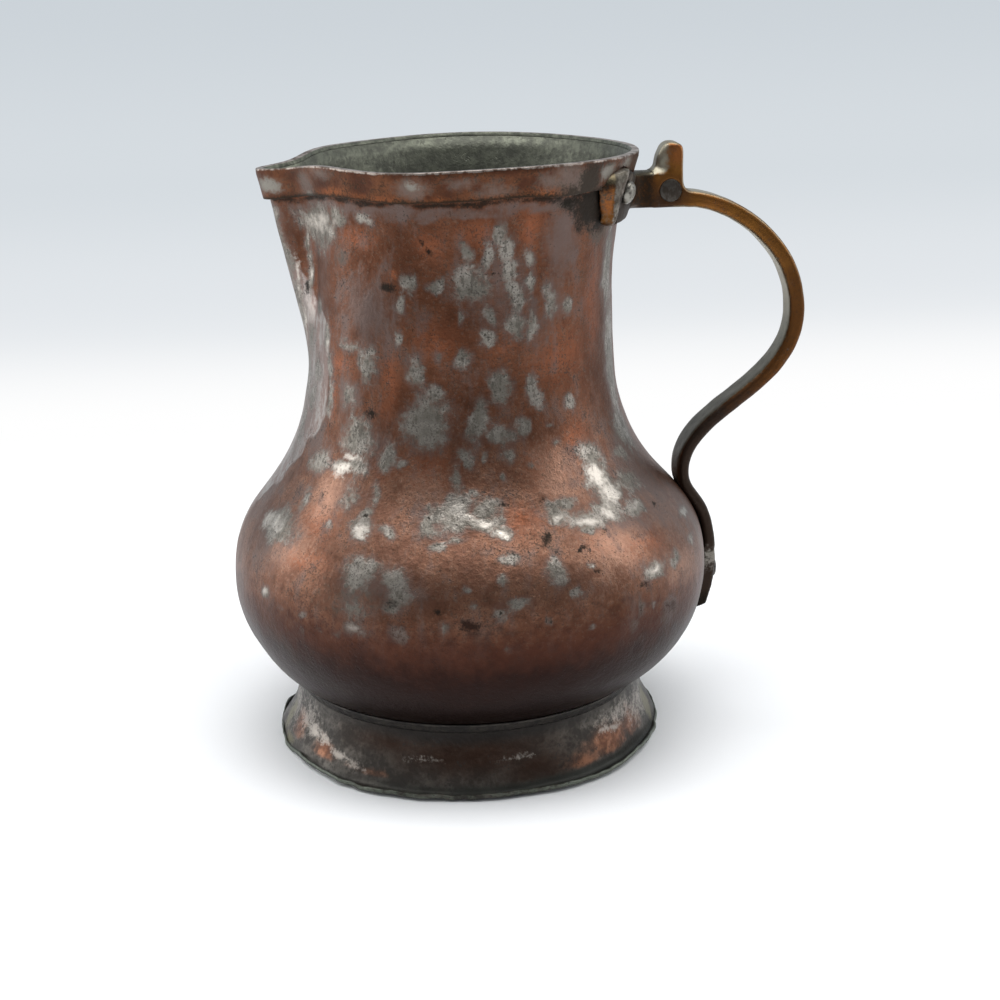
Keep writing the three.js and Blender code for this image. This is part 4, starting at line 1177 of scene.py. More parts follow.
# The rim band's films with their patches.
BAND_PATCHES = {
    "greyed": [
        (176, 195, 5, 4, 0.7), (160, 194, 5, 5, 0.8), (150, 198, 6, 2, 0.7), (111, 195, 7, 3.4, 0.9),
        (94, 196, 5, 2, 0.6), (84, 193, 6, 3, 0.5), (55, 193, 10, 6, 1.0), (66, 195, 5, 3, 0.6),
        (215, 193, 10, 5, 0.9), (250, 194, 9, 4, 0.7), (292, 193, 12, 5, 0.9), (325, 194, 7, 4, 0.8),
        (60, 196, 6, 5, 0.8), (314, 195, 10, 8, 1.0),
    ],
    "tin": [
        (175, 195, 4, 3.4, 1.0), (159, 190.5, 3, 1.4, 0.8), (110, 196, 3, 1.6, 0.8), (43, 196.5, 5, 3.4, 1.1),
        (31, 197, 6, 3, 0.9), (222, 195, 5, 2, 0.9), (300, 194, 5, 2, 0.9),
    ],
    "fresh": [
        (146, 191, 9, 3, 0.9), (127, 190.5, 14, 2.6, 1.0), (104, 190.4, 10, 2, 0.8), (85, 190.4, 9, 1.8, 0.7),
        (67, 191, 8, 2.4, 0.6), (185, 191, 9, 3, 0.6), (240, 191, 16, 2.6, 0.8), (310, 191, 16, 2.6, 0.8),
    ],
    # The patches beside the saddle wings are painted shade.
    "dark": [
        (51, 194, 6.5, 8, 1.4), (58, 192, 8, 3, 0.9), (44, 199, 6, 2, 0.7), (319, 194, 6, 9, 0.9),
        (310, 190, 9, 3, 0.8),
    ],
}

# The foot's films with their patches.
FOOT_PATCHES = {
    "fresh": [
        (46, 9, 13, 6, 1.1), (32, 10, 8, 6, 1.0), (58, 6, 7, 4, 0.8), (164, 10, 5, 6, 1.0),
        (146, 7, 6, 4, 1.0), (126, 5, 9, 2, 0.6), (205, 9, 12, 6, 0.9), (250, 8, 14, 5, 0.8),
        (300, 9, 12, 6, 1.0), (335, 10, 9, 6, 0.9),
    ],
    "brown": [
        (95, 14, 34, 9, 1.1), (75, 8, 16, 8, 0.9), (120, 16, 20, 6, 0.8), (270, 12, 60, 9, 0.8),
    ],
    "tin": [
        (161, 13, 5, 2.4, 0.9), (154, 11, 5, 2.2, 1.0), (147, 10, 5, 2, 1.0), (139, 8, 5, 1.8, 1.0),
        (132, 6, 4, 1.6, 0.8), (48, 13, 4, 1.4, 1.0), (43, 11.5, 4, 1.2, 0.9), (20, 12, 5, 6, 0.7),
        # The first four patches on this line, wide and faint, are a painted highlight: a soft grey gleam high
        # on the skirt.
        (38, 15, 15, 4, 0.55), (26, 13, 9, 6, 0.6), (160, 14, 9, 6, 0.6), (172, 12, 8, 8, 0.5),
        (110, 12, 6, 1, 0.5), (80, 12, 7, 1, 0.5), (212, 12, 9, 2, 0.9), (236, 11, 7, 2, 0.8),
        (288, 12, 10, 2, 0.8), (322, 11, 7, 2, 0.9),
    ],
    "fold": [(13, 9, 6, 8, 1.2), (168, 3, 5, 2, 0.8), (176, 8, 5, 8, 0.8)],
}


@dataclass(frozen=True)
class Dent:
    """A hollow or, with a negative depth, a raised place in the sheet, with half sizes in degrees and mm."""

    around: float
    height: float
    wide: float
    tall: float
    depth: float


@dataclass
class Body:
    """The raised vessel: one sheet from the floor to the mouth, with the wall's thickness."""

    form: VesselForm
    finish: RaisedCopper
    steps_around: int = 320
    outer_steps: tuple = (24, 34, 84, 50)
    inner_steps: tuple = (8, 14, 30, 18)
    hammering: tuple = (Lumps(21.0, 0.45, 3.0), Lumps(9.0, 0.16, 6.0), Lumps(4.2, 0.05, 5.0))
    hammered: tuple = (26, 40, 182, 192)
    low_shade_range: tuple = (80, 40)
    shoulder_highlight_at: tuple = (90, 30)
    waver: float = 2.2
    mouth_rise: float = 0.27
    mouth_rise_from: float = 2
    band_shadow: tuple = (189.7, 1.1)
    crease_heights: tuple = (40, 84, 96, 118, 130, 141, 148, 154, 159, 163, 166, 170, 176)
    crease_angles: tuple = (184, 178, 168, 151, 151, 149, 151, 160.6, 168, 171.6, 174, 176.5, 184)
    crease_blend: float = 4
    flank_end: tuple = (200, 222)
    seed: int = 11
    far_side: tuple = (188, 372)
    far_heights: tuple = (56, 186)
    far_tallness: tuple = (0.6, 1.7)
    far_strengths: tuple = (0.6, 1.1)
    dents: tuple = (
        Dent(171.5, 178, 3.2, 9, 1.2), Dent(166, 160, 3.0, 12, 0.9), Dent(161, 146, 3.0, 9, 0.6),
        Dent(150, 176, 9, 12, -0.5), Dent(124, 150, 9, 16, 0.5), Dent(88, 160, 12, 12, 0.4),
        Dent(196, 172, 4, 12, 0.8), Dent(300, 150, 10, 14, 0.5),
    )

    def mesh(self) -> bpy.types.Mesh:
        """Turns, forms and dents the sheet, and marks where each film shows.

        Returns:
            The sheet's mesh.
        """
        form, mouth = self.form, self.form.mouth_height
        outer = form.outer_line(self.outer_steps)
        inner = form.wall_line(form.outer_line(self.inner_steps), -form.wall)
        mesh = mesh_from(turned(outer + inner[::-1], self.steps_around, False), "body_shell")
        places = places_of(mesh)
        radius, height = radius_of(places), places[:, 2].copy()
        off_side = radius < form.radius_at(height) - form.wall / 2
        off_floor = height > form.underside_at(radius) + form.wall / 2
        inside = np.where(height >= form.belly_height, off_side, off_floor)
        raised = places.copy()
        raised[:, 2] += self.mouth_rise * ease(height, mouth - self.mouth_rise_from, mouth)
        shaped = form.formed(raised)
        shift = sum(unevenness.at(shaped) for unevenness in self.hammering)
        for dent in self.dents:
            arc = arc_from(around_of(places), dent.around)
            shift -= dent.depth * bell(arc, 0, dent.wide) * bell(height, dent.height, dent.tall)
        shift *= between(height, *self.hammered)
        put_places(mesh, to_frame(shaped + outward_of(places) * shift[:, None]))
        self.mark(mesh, places, inside)
        return mesh

    def far_marks(self, count: int, smallest: float, largest: float, chance: random.Random) -> list[tuple]:
        """Patches like those in view, scattered over the side that the photograph doesn't show.

        Args:
            count: How many.
            smallest: Least half width in degrees.
            largest: Greatest half width in degrees.
            chance: The seeded source of chance.

        Returns:
            Patches as field_of takes them.
        """
        marks = []
        for _ in range(count):
            wide = smallest + (largest - smallest) * chance.random() ** 2
            tall = wide * chance.uniform(*self.far_tallness)
            place = (chance.uniform(*self.far_side), chance.uniform(*self.far_heights))
            marks.append((*place, wide, tall, chance.uniform(*self.far_strengths)))
        return marks

    def mark(self, mesh: bpy.types.Mesh, places: np.ndarray, inside: np.ndarray) -> None:
        """Stores where tin, veils, pits, stains, rubbed copper and the inside are, and where shade and light
        are painted.

        Args:
            mesh: The body's mesh.
            places: Each vertex about the axis, before the sheet was formed.
            inside: Which vertices are on the inner face.
        """
        chance = random.Random(self.seed)
        around, height = wandered(places, self.waver)
        masks = {
            name: field_of(marks + self.far_marks(*far, chance), around, height)
            for name, (marks, far) in BODY_PATCHES.items()
        }
        # The left flank beyond the spout's crease, partly painted reflection.
        crease = np.interp(height, self.crease_heights, self.crease_angles)
        masks["flank"] = ease(around - crease, 0, self.crease_blend) * (1 - ease(around, *self.flank_end))
        # Painted highlight on the shoulder and belly.
        masks["painted_highlight"] = field_of(PAINTED_HIGHLIGHT_MARKS, around, height)
        # Painted shadow on the neck just under the band.
        masks["under"] = bell(height, *self.band_shadow) * (1 - inside)
        # Painted shade and reflection darkening the lower belly.
        masks["low_painted_shade"] = ease(places[:, 2], *self.low_shade_range)
        # A pinker, paler band round the shoulder: partly tone, partly painted highlight.
        masks["shoulder"] = bell(places[:, 2], *self.shoulder_highlight_at)
        put_masks(mesh, **masks, inside=inside)

    def build(self) -> bpy.types.Object:
        """Makes the piece and gives it its finish."""
        return seated(shown(self.mesh(), "pitcher_body"), "body", self.finish.make())


@dataclass
class RimBand:
    """The strip folded over the mouth, open on the handle's side where the saddle lies."""

    form: VesselForm
    finish: BandCopper
    steps_around: int = 320
    leg_rows: int = 11
    inner_rows: int = 5
    height: float = 9.5
    tip_drop: float = 1.2
    tip_width: float = 11
    thickness: float = 1.4
    cap: float = 1.2
    clearance: float = 0.3
    edge_round: float = 0.22
    edge_segments: int = 3
    wave: Lumps = Lumps(10.0, 0.35, 8.0)
    edge_wave: Lumps = Lumps(14.0, 0.6, 9.0)
    outer_face: tuple = (0.2, 1.2)
    inward_facing: float = -0.3
    notch_grow: float = 0.5
    cap_lean: float = 0.55
    cap_facing: tuple = (0.15, 0.6)
    cap_depth: float = 1.0
    hem_strength: float = 0.9
    hem_range: tuple = (0.9, 0.3)
    hem_waver: Lumps = Lumps(3.0, 0.4, 4.0)
    lower_edge_shade: float = 0.9
    lower_edge_shade_width: float = 1.0
    inside_from: float = 0.5
    waver: float = 1.2
    saddle: tuple = ((10.5, 191.8), (31.8, 196.4), (38.8, 190.8), (34.4, 178.0), (10.5, 178.0))
    saddle_along: tuple = (19, 57)

    def section(self) -> Line:
        """The band's section: an outer leg down the flare and a cap over the edge.

        Returns:
            Points as (radius, height).
        """
        flare = math.cos(math.radians(self.form.mouth_flare))
        under = self.form.mouth_height + self.clearance
        top = under + self.cap
        mouth_inside = self.form.mouth_radius - self.form.wall / flare
        gap = self.clearance / flare
        up = np.linspace(top - self.height, top, self.leg_rows)
        down = np.linspace(under, top - self.height, self.inner_rows)
        outside = list(zip(self.form.radius_at(up) + gap + self.thickness / flare, up))
        inside = list(zip(self.form.radius_at(down) + gap, down))
        return [*outside, (mouth_inside + self.cap_lean, top), (mouth_inside, under), *inside]

    def mesh(self) -> bpy.types.Mesh:
        """Turns the section, rounds its edges and hammers it to the mouth.

        Returns:
            The band's mesh.
        """
        shape = turned(self.section(), self.steps_around, True)
        rounded(shape, self.edge_round, self.edge_segments)
        mesh = mesh_from(shape, "band_strip")
        places, facing = places_of(mesh), directions_of(mesh)
        top, level = self.form.mouth_height + self.clearance + self.cap, places[:, 2].copy()
        down = ease(top - level, 0, self.height)
        out = outward_of(places)
        inner = np.sum(out * facing, axis=1) < self.inward_facing
        outer = ease(radius_of(places) - self.form.radius_at(level), *self.outer_face)
        edge = out * self.form.mouth_radius
        places[:, 2] -= self.tip_drop * bell(from_spout(places), 0, self.tip_width) * down
        places[:, 2] -= self.edge_wave.at(edge) * down
        shift = self.wave.at(edge) * outer
        put_places(mesh, to_frame(self.form.formed(places) + out * shift[:, None]))
        around, height = wandered(places, self.waver)
        masks = {name: field_of(marks, around, height) for name, marks in BAND_PATCHES.items()}
        # Painted shade along the band's lower edge.
        edge_shade = self.lower_edge_shade * bell(level, top - self.height, self.lower_edge_shade_width)
        masks["dark"] = np.maximum(edge_shade, masks["dark"])
        hem_low, hem_high = (top - depth for depth in self.hem_range)
        hem = self.hem_strength * ease(level + self.hem_waver.at(places), hem_low, hem_high) * (1 - inner)
        masks["cap"] = np.maximum(ease(facing[:, 2], *self.cap_facing) * (level > top - self.cap_depth), hem)
        put_masks(mesh, **masks, inside=inner * (level > self.form.mouth_height - self.inside_from))
        return mesh

    def saddle_space(self) -> bmesh.types.BMesh:
        """The room that the saddle's wings take at the mouth, as a bar along X, grown by a margin.

        Returns:
            The bar in metres.
        """
        outline = list(self.saddle) + [(-y, z) for y, z in reversed(self.saddle)]
        start, length = self.saddle_along
        grown = [(y + math.copysign(self.notch_grow, y), z + self.notch_grow) for y, z in outline]
        shape = bmesh.new()
        corners = [((start + AXIS_X) * MM, y * MM, z * MM) for y, z in grown]
        swept(shape, corners, (length * MM, 0, 0))
        return shape

    def build(self) -> bpy.types.Object:
        """Makes the piece, cut open for the saddle, and gives it its finish.

        Returns:
            The rim band.
        """
        band = shown(self.mesh(), "rim_band_strip")
        cutter = shown(mesh_from(self.saddle_space(), "saddle_space"), "saddle_space")
        cut = band.modifiers.new("saddle_notch", "BOOLEAN")
        cut.operation, cut.solver, cut.object = "DIFFERENCE", "EXACT", cutter
        applied(band)
        bpy.data.objects.remove(cutter)
        return seated(band, "rim_band", self.finish.make())


@dataclass
class FootRing:
    """The flared foot: a waist, a crease, a gutter and an out-turned lip that rests on the table."""

    form: VesselForm
    finish: FootCopper
    steps_around: int = 300
    rows: int = 10
    top_radius: float = 58.4
    crease_radius: float = 61
    crease_height: float = 12
    waist_ease: float = 6
    waist_spread: float = 1
    gutter_radius: float = 63.6
    gutter_height: float = 2.9
    lip_radius: float = 67.5
    lip_thickness: float = 1.7
    lip_edge: float = 0.4
    lip_round: float = 0.5
    lip_rows: tuple = ((0.8, 0.1), (1.8, 0.0), (2.8, 0.1))
    rest_inner_radius: float = 63.4
    inner_foot: float = 1.0
    thickness: float = 1.3
    clearance: float = 0.3
    lip_wave: float = 0.7
    lip_waves: int = 5
    flare_push: float = 2.3
    flare_width: float = 42
    fold_width: float = 14
    dents: Lumps = Lumps(12.0, 0.6, 2.0)
    dented_below: tuple = (15, 22)
    nibble_least: float = 0.6
    nibbles: tuple = (Lumps(9.0, 0.9, 12.0), Lumps(3.6, 0.4, 15.0))
    nibble_depth: float = 0.9
    nibble_from: float = 1.0
    curl_least: float = 1.1
    curls: tuple = (Lumps(13.0, 1.7, 6.0), Lumps(5.0, 0.6, 3.0))
    curl_from: float = 1.2
    curl_limits: tuple = (0.1, 3.0)
    curl_at: tuple = (46, 26)
    curl_lift: float = 1.1
    waver: float = 1.0
    low_range: tuple = (3.0, 6.0)
    gutter_at: tuple = (0.6, 2.0)
    gutter_share: tuple = (0.35, 0.65, 62, 48)
    lip_from: float = 1.5
    edge_from: float = 0.7
    plain_at: tuple = (100, 38)
    lip_fade: float = 0.45
    edge_fade: float = 0.6
    shade_range: tuple = (13.0, 22.0)
    shade_share: tuple = (0.2, 0.8, 95, 55)

    def section(self) -> Line:
        """The foot's section, from the seat down the outside, round the lip and up the inside.

        Returns:
            Points as (radius, height).
        """
        slope = math.cos(math.radians(self.form.seat_slope))
        top = float(self.form.underside_at(self.top_radius)) - self.clearance / slope
        waist = np.array([
            (self.top_radius, top),
            (self.top_radius + self.waist_spread, self.crease_height + self.waist_ease),
            (self.crease_radius, self.crease_height),
        ])
        shares = np.linspace(0, 1, self.rows)[:, None]
        curve = (1 - shares) ** 2 * waist[0] + 2 * shares * (1 - shares) * waist[1] + shares**2 * waist[2]
        gutter = (self.gutter_radius, self.gutter_height)
        down = np.linspace((self.crease_radius, self.crease_height), gutter, self.rows)[1:]
        face = [tuple(p) for p in curve] + [tuple(p) for p in down]
        inner = offset_line(face, self.thickness)
        seat_inside = self.top_radius - self.thickness
        inner[0] = (seat_inside, float(self.form.underside_at(seat_inside)) - self.clearance / slope)
        inner[-1] = (self.rest_inner_radius - self.inner_foot, self.thickness)
        inset, above = self.lip_radius - self.lip_round, self.lip_thickness - self.lip_round
        lip = [(self.gutter_radius + out, self.lip_thickness + up) for out, up in self.lip_rows]
        lip += [
            (inset, self.lip_thickness), (self.lip_radius, above), (self.lip_radius, self.lip_round),
            (inset, 0.0), (self.rest_inner_radius, 0.0),
        ]
        return face + lip + inner[::-1]

    def skirt_push(self, places: np.ndarray) -> np.ndarray:
        """How far the skirt flares outward below the spout and below the handle, where the foot is folded.

        Args:
            places: Points in millimetres about the vessel's axis.

        Returns:
            One distance for each place.
        """
        angle = from_spout(places)
        where = bell(angle, 0, self.flare_width) + bell(np.abs(angle), 180, self.fold_width)
        down = (self.crease_height - places[:, 2]) / (self.crease_height - self.gutter_height)
        lip_start, lip_end = self.gutter_radius + self.lip_edge, self.lip_radius - self.lip_edge
        inboard = 1 - ease(radius_of(places), lip_start, lip_end)
        return self.flare_push * where * np.clip(down, 0, 1) * inboard

    def build(self) -> bpy.types.Object:
        """Makes the piece, hammers it uneven and gives it its finish.

        Returns:
            The foot ring.
        """
        mesh = mesh_from(turned(self.section(), self.steps_around, True), "foot_ring_sheet")
        places = places_of(mesh)
        out, level, radius = outward_of(places), places[:, 2].copy(), radius_of(places)
        push = self.skirt_push(places)
        outer = ease(radius + push, self.gutter_radius, self.lip_radius)
        wave = push + self.lip_wave * np.sin(self.lip_waves * np.arctan2(places[:, 1], places[:, 0])) * outer
        wall = out * self.crease_radius + np.array([0, 0, 1.0]) * level[:, None]
        wave += self.dents.at(wall) * (1 - ease(level, *self.dented_below)) * (1 - outer)
        rim = out * self.lip_radius
        nibbled = self.nibble_least + sum(unevenness.at(rim) for unevenness in self.nibbles)
        at_edge = ease(radius, self.gutter_radius + self.nibble_from, self.lip_radius)
        wave -= self.nibble_depth * np.clip(nibbled, 0, None) * at_edge
        moved = places + out * wave[:, None]
        curl = self.curl_least + sum(unevenness.at(rim) for unevenness in self.curls)
        curl += self.curl_lift * bell(around_of(places), *self.curl_at)
        lifted = ease(radius, self.gutter_radius + self.curl_from, self.lip_radius)
        moved[:, 2] += np.clip(curl, *self.curl_limits) * lifted
        moved[:, :2] *= np.minimum(1.0, (self.lip_radius + self.lip_wave) / radius_of(moved))[:, None]
        put_places(mesh, to_frame(moved))
        self.mark(mesh, places, radius)
        return seated(shown(mesh, "foot_ring_flared"), "foot_ring", self.finish.make())

    def mark(self, mesh: bpy.types.Mesh, places: np.ndarray, radius: np.ndarray) -> None:
        """Stores where the foot is bare, brown, tinned, folded, greened or shaded, and where a soft grey
        highlight is painted.

        Args:
            mesh: The foot's mesh.
            places: Each vertex about the axis, before the foot was hammered.
            radius: How far each of them is from the axis.
        """
        around, height = wandered(places, self.waver)
        level = places[:, 2]
        low, plain = 1 - ease(level, *self.low_range), bell(around, *self.plain_at)
        masks = {name: field_of(marks, around, height) for name, marks in FOOT_PATCHES.items()}
        masks["fresh"] -= low
        least, more, middle, width = self.gutter_share
        gutter_out, gutter_width = self.gutter_at
        green = bell(radius, self.gutter_radius + gutter_out, gutter_width)
        masks["gutter"] = green * low * (least + more * bell(around, middle, width))
        turned_up = ease(radius, self.gutter_radius + self.lip_from, self.lip_radius)
        masks["lip"] = turned_up * low * (1 - self.lip_fade * plain)
        masks["edge"] = ease(radius, self.lip_radius - self.edge_from, self.lip_radius) * low
        masks["edge"] *= 1 - self.edge_fade * plain
        least, more, middle, width = self.shade_share
        shaded = least + more * bell(arc_from(around, middle), 0, width)
        masks["shade"] = ease(level, *self.shade_range) * shaded
        put_masks(mesh, **masks)


@dataclass
class FootSolder:
    """The bead of solder wiped into the corner between the foot and the belly."""

    form: VesselForm
    finish: WipedTin
    steps_around: int = 240
    inner_radius: float = 58.76
    leg: float = 2.4
    hollow: float = 0.4
    clearance: float = 0.3
    held: tuple = (0.6, 0.4)
    uneven: Lumps = Lumps(6.0, 0.21, 4.0)

    def build(self) -> bpy.types.Object:
        """Makes the bead, lumpy as it was wiped, and gives it its finish.

        Returns:
            The bead of solder.
        """
        gap = self.clearance / math.cos(math.radians(self.form.seat_slope))
        inner, outer = self.inner_radius, self.inner_radius + self.leg
        top_inner = float(self.form.underside_at(inner)) - gap
        top_outer = float(self.form.underside_at(outer)) - gap
        low = (inner + self.hollow, top_inner - self.leg)
        middle = (inner + self.leg / 2, top_inner - self.leg / 2 + self.hollow)
        below = ((low[0] + middle[0]) / 2, (low[1] + middle[1]) / 2)
        above = ((middle[0] + outer) / 2, (middle[1] + top_outer) / 2)
        section = [low, below, middle, above, (outer, top_outer), (inner, top_inner)]
        mesh = mesh_from(turned(section, self.steps_around, True), "solder_bead")
        places = places_of(mesh)
        out = outward_of(places)
        free = between(radius_of(places), inner, inner + self.held[0], outer - self.held[1], outer)
        drop = free * self.uneven.at(out * inner)
        put_places(mesh, to_frame(places + out * drop[:, None]))
        return seated(shown(mesh, "foot_solder_bead"), "foot_solder", self.finish.make())


@dataclass
class Handle:
    """The brass casting: saddle wings, bridge, thumb post, bow and tab."""

    form: VesselForm
    finish: CastBrass
    width: float = 10
    bow_start: tuple = (74.5, 182.7)
    bow_start_ease: float = 15.2
    bow_reach: tuple = (113.7, 144)
    bow_ease_up: float = 23.9
    bow_ease_down: float = 27.9
    throat_gap: float = 3.6
    throat_height: float = 89.3
    throat_ease_up: float = 22.8
    throat_ease_down: float = 6
    landing_height: float = 74
    landing_ease: float = 6
    landing_gap: float = 0.3
    tab_end_height: float = 43
    tab_overlap: float = 58
    tab_step: float = 2.0
    tab_gap: float = 0.45
    thicknesses: tuple = (5.4, 5.5, 4.3, 4.4)
    tab_thickness: float = 6.0
    steps: tuple = (34, 34, 10)
    edge_round: float = 1.5
    edge_segments: int = 3
    saddle_cut: float = 77.2
    saddle_bottom: float = 150
    tab_cut: float = 62
    voxel: float = 0.5
    smooth_rounds: int = 6
    cast: Lumps = Lumps(5.0, 0.13, 1.0)
    throat_spread: float = 0.3
    throat_at: tuple = (96, 30)
    bow_from: float = 66
    post_from: float = 64
    post_taper: float = 0.35
    post_spread: float = 1.4
    wing_rounds: int = 22
    wing_cut: float = 64
    wing_facing: tuple = (0.2, 0.8)
    groove_at: tuple = (31.4, 1.8)
    groove_depth: float = 0.9
    ridge_at: tuple = (34.2, 1.8)
    ridge_height: float = 0.45
    rivet_at: tuple = (24.5, 188.7)

    def strap_line(self) -> tuple[Line, np.ndarray]:
        """The bow's middle line from the bridge to the landing on the belly, and its thickness along it.

        Returns:
            Points as (x, height), and a thickness for each.
        """
        start, reach = self.bow_start, self.bow_reach
        _, full, thin, tab = self.thicknesses
        off_belly = self.form.on_belly(self.throat_height, 0)[0]
        throat = (off_belly + self.throat_gap + thin / 2, self.throat_height)
        landing = self.form.on_belly(self.landing_height, self.landing_gap + tab / 2)
        above = self.form.on_belly(self.landing_height + self.landing_ease, self.landing_gap + tab / 2)
        curves = [
            [
                start, (start[0] + self.bow_start_ease, start[1]),
                (reach[0], reach[1] + self.bow_ease_up), reach,
            ],
            [
                reach, (reach[0], reach[1] - self.bow_ease_down),
                (throat[0], throat[1] + self.throat_ease_up), throat,
            ],
            [throat, (throat[0], throat[1] - self.throat_ease_down), above, landing],
        ]
        line, widths = [start], [self.thicknesses[0]]
        for corners, first, last, count in zip(curves, self.thicknesses, self.thicknesses[1:], self.steps):
            line += curve_points(corners, count)
            widths += list(np.linspace(first, last, count + 1)[1:])
        return line, np.array(widths)

    def strap(self) -> bmesh.types.BMesh:
        """The bow as a bar with rounded edges, from the bridge to the upper part of the tab, in metres.

        Returns:
            The bar.
        """
        line, widths = self.strap_line()
        outer, inner = offset_line(line, -widths / 2), offset_line(line, widths / 2)
        tab = self.thicknesses[-1]
        span = self.landing_height - self.tab_end_height
        for height in np.arange(self.landing_height - self.tab_step, self.tab_overlap, -self.tab_step):
            share = (self.landing_height - height) / span
            thick = tab + (self.tab_thickness - tab) * share**2
            outer.append(self.form.on_belly(height, self.landing_gap + thick))
            inner.append(self.form.on_belly(height, self.tab_gap))
        outline = outer + inner[::-1]
        corners = [((x + AXIS_X) * MM, -self.width / 2 * MM, z * MM) for x, z in outline]
        shape = bmesh.new()
        swept(shape, corners, (0, self.width * MM, 0))
        rounded(shape, self.edge_round * MM, self.edge_segments)
        return shape

    def mesh(self) -> bpy.types.Mesh:
        """Joins the strap with the solid's saddle and tab, and rounds the whole as a casting is.

        Returns:
            The casting's mesh.
        """
        saddle, tab = merged_copy("handle"), merged_copy("handle")
        cut_off(saddle, (0, 0, self.saddle_bottom * MM), (0, 0, -1))
        cut_off(saddle, ((self.saddle_cut + AXIS_X) * MM, 0, 0), (1, 0, 0))
        cut_off(tab, (0, 0, self.tab_cut * MM), (0, 0, 1))
        whole = self.strap()
        for part in (saddle, tab):
            mesh = bpy.data.meshes.new("handle_part")
            part.to_mesh(mesh)
            part.free()
            whole.from_mesh(mesh)
        handle = shown(mesh_from(whole, "handle_casting"), "handle_rough")
        remesh = handle.modifiers.new("cast_skin", "REMESH")
        remesh.mode, remesh.voxel_size = "VOXEL", self.voxel * MM
        soften = handle.modifiers.new("cast_round", "SMOOTH")
        soften.factor, soften.iterations = SMOOTHING, self.smooth_rounds
        mesh = applied(handle)
        bpy.data.objects.remove(handle)
        skin = bmesh.new()
        skin.from_mesh(mesh)
        cut, bottom = (self.wing_cut + AXIS_X) * MM, self.saddle_bottom * MM
        wings = [v for v in skin.verts if v.co.x < cut and v.co.z > bottom]
        for _ in range(self.wing_rounds):
            smoothed(skin, wings)
        skin.to_mesh(mesh)
        skin.free()
        mesh.shade_smooth()
        return mesh

    def mark(self, mesh: bpy.types.Mesh) -> None:
        """Stores where the casting is golden, brown, black, greyed or dirty, and where shade and highlight
        are painted.

        Each place is named first, by the millimetres about the vessel's axis between which it starts and is
        full, or by its middle and half width. The films are then sums or the greatest of these places.

        Args:
            mesh: The casting's mesh.
        """
        x, y, z = from_frame(places_of(mesh)).T
        out_x, out_y, out_z = directions_of(mesh).T
        across, sideways = np.abs(y), np.abs(out_y)
        # Main parts.
        upper = z > 170
        strap = ease(x, 66, 72)
        wing = (1 - ease(x, 62, 66)) * (z > self.saddle_bottom)
        wing_end = wing * ease(across, 34.5, 36)
        wing_face = ease(x, 45.4, 44.0) * ease(z, 193.0, 191.0)
        wing_turn = ease(x, 44.6, 45.8)
        recess = (1 - ease(across, 30.5, 32.5)) * ease(x, 57, 54)
        post_side = bell(x, 70.5, 6) * ease(z, 190, 194)
        throat = ease(z, 135, 100)
        # The narrow sides of the strap, the rims of its broad sides, and the pale border of post and bridge;
        # the bridge's top edge is a painted highlight, and the rims are partly worn, partly painted
        # highlight.
        narrow = (1 - ease(sideways, 0.3, 0.8)) * (1 - 0.6 * ease(out_x, 0.1, 0.6))
        rim = between(sideways, 0.35, 0.6, 0.75, 0.95) * strap * (1 - ease(z, 189, 191) * (x < 73))
        bridge_highlight = ease(-out_x + 0.7 * out_z, 0.25, 0.55) * ease(z, 188.8, 189.6) * ease(x, 69.5, 68)
        post_back = ease(x, 70.4, 66.8) * ease(z, 190.0, 192.5) * (x > 60)
        border = np.maximum(bridge_highlight * (x > 55), post_back)
        # Dirt, and painted shade round the rivet, in the recess below it and on the lower wing ends.
        off_wing = 99 * (1 - wing)
        from_rivet = np.hypot(across - self.rivet_at[0], z - self.rivet_at[1]) * wing + off_wing
        dirt = [
            bell(from_rivet, 6.2, 1.7), wing * bell(across, 30.8, 1.5), 0.8 * bell(z, 42, 4) * (z < 60),
            0.95 * wing * recess * ease(z, 188.5, 186), 0.55 * wing_end * wing_turn * bell(z, 186.5, 3),
            wing * ease(x, 46.6, 47.8) * ease(x, 57, 54) * ease(z, 189.5, 187), 0.35 * wing_end,
            0.75 * wing * (1 - ease(across, 14, 20)), 0.15 * bell(x, 62, 5) * upper * (1 - narrow),
            0.8 * wing_end * ease(z, 185, 179), 0.7 * wing_end * ease(across, 37.2, 38.6),
        ]
        masks = {
            "brown": 0.3 + 0.7 * ease(z, 185, 135) * strap + 0.4 * wing
            + 0.6 * bell(x, 68, 9) * ease(z, 193, 187),
            # Darker toward the throat, and painted shade under the bridge.
            "black": throat * (1 - 0.65 * narrow * ease(z, 74, 84))
            + 0.7 * bell(x, 69, 8) * ease(z, 192, 184) * upper,
            "dull": 0.8 * ease(z, 180, 110),
            "narrow": np.maximum(narrow * strap, border) + 0.25 * wing,
            "orange": 0.8 * bell(x, 72, 4) * ease(z, 191, 197) + 0.9 * wing_end * wing_face
            + 0.3 * bell(x, 84, 7) * upper,
            "green": wing * ease(out_z, 0.2, 0.7) + 0.8 * post_side * ease(out_z, 0.4, 0.8)
            + wing_end * ease(z, 191, 193),
            "grey": wing * np.maximum(wing_turn * ease(across, 32, 33.5), recess * ease(z, 188, 191))
            + 0.7 * bell(z, 58, 4) * (x > 70) * (1 - 0.5 * narrow),
            # Partly wear, partly painted highlight, stronger toward the top.
            "edge": rim * (0.35 + 0.5 * ease(z, 120, 180)) * (1 - 0.6 * ease(z, 110, 90)),
            "dirt": np.maximum.reduce(dirt),
        }
        put_masks(mesh, **masks)

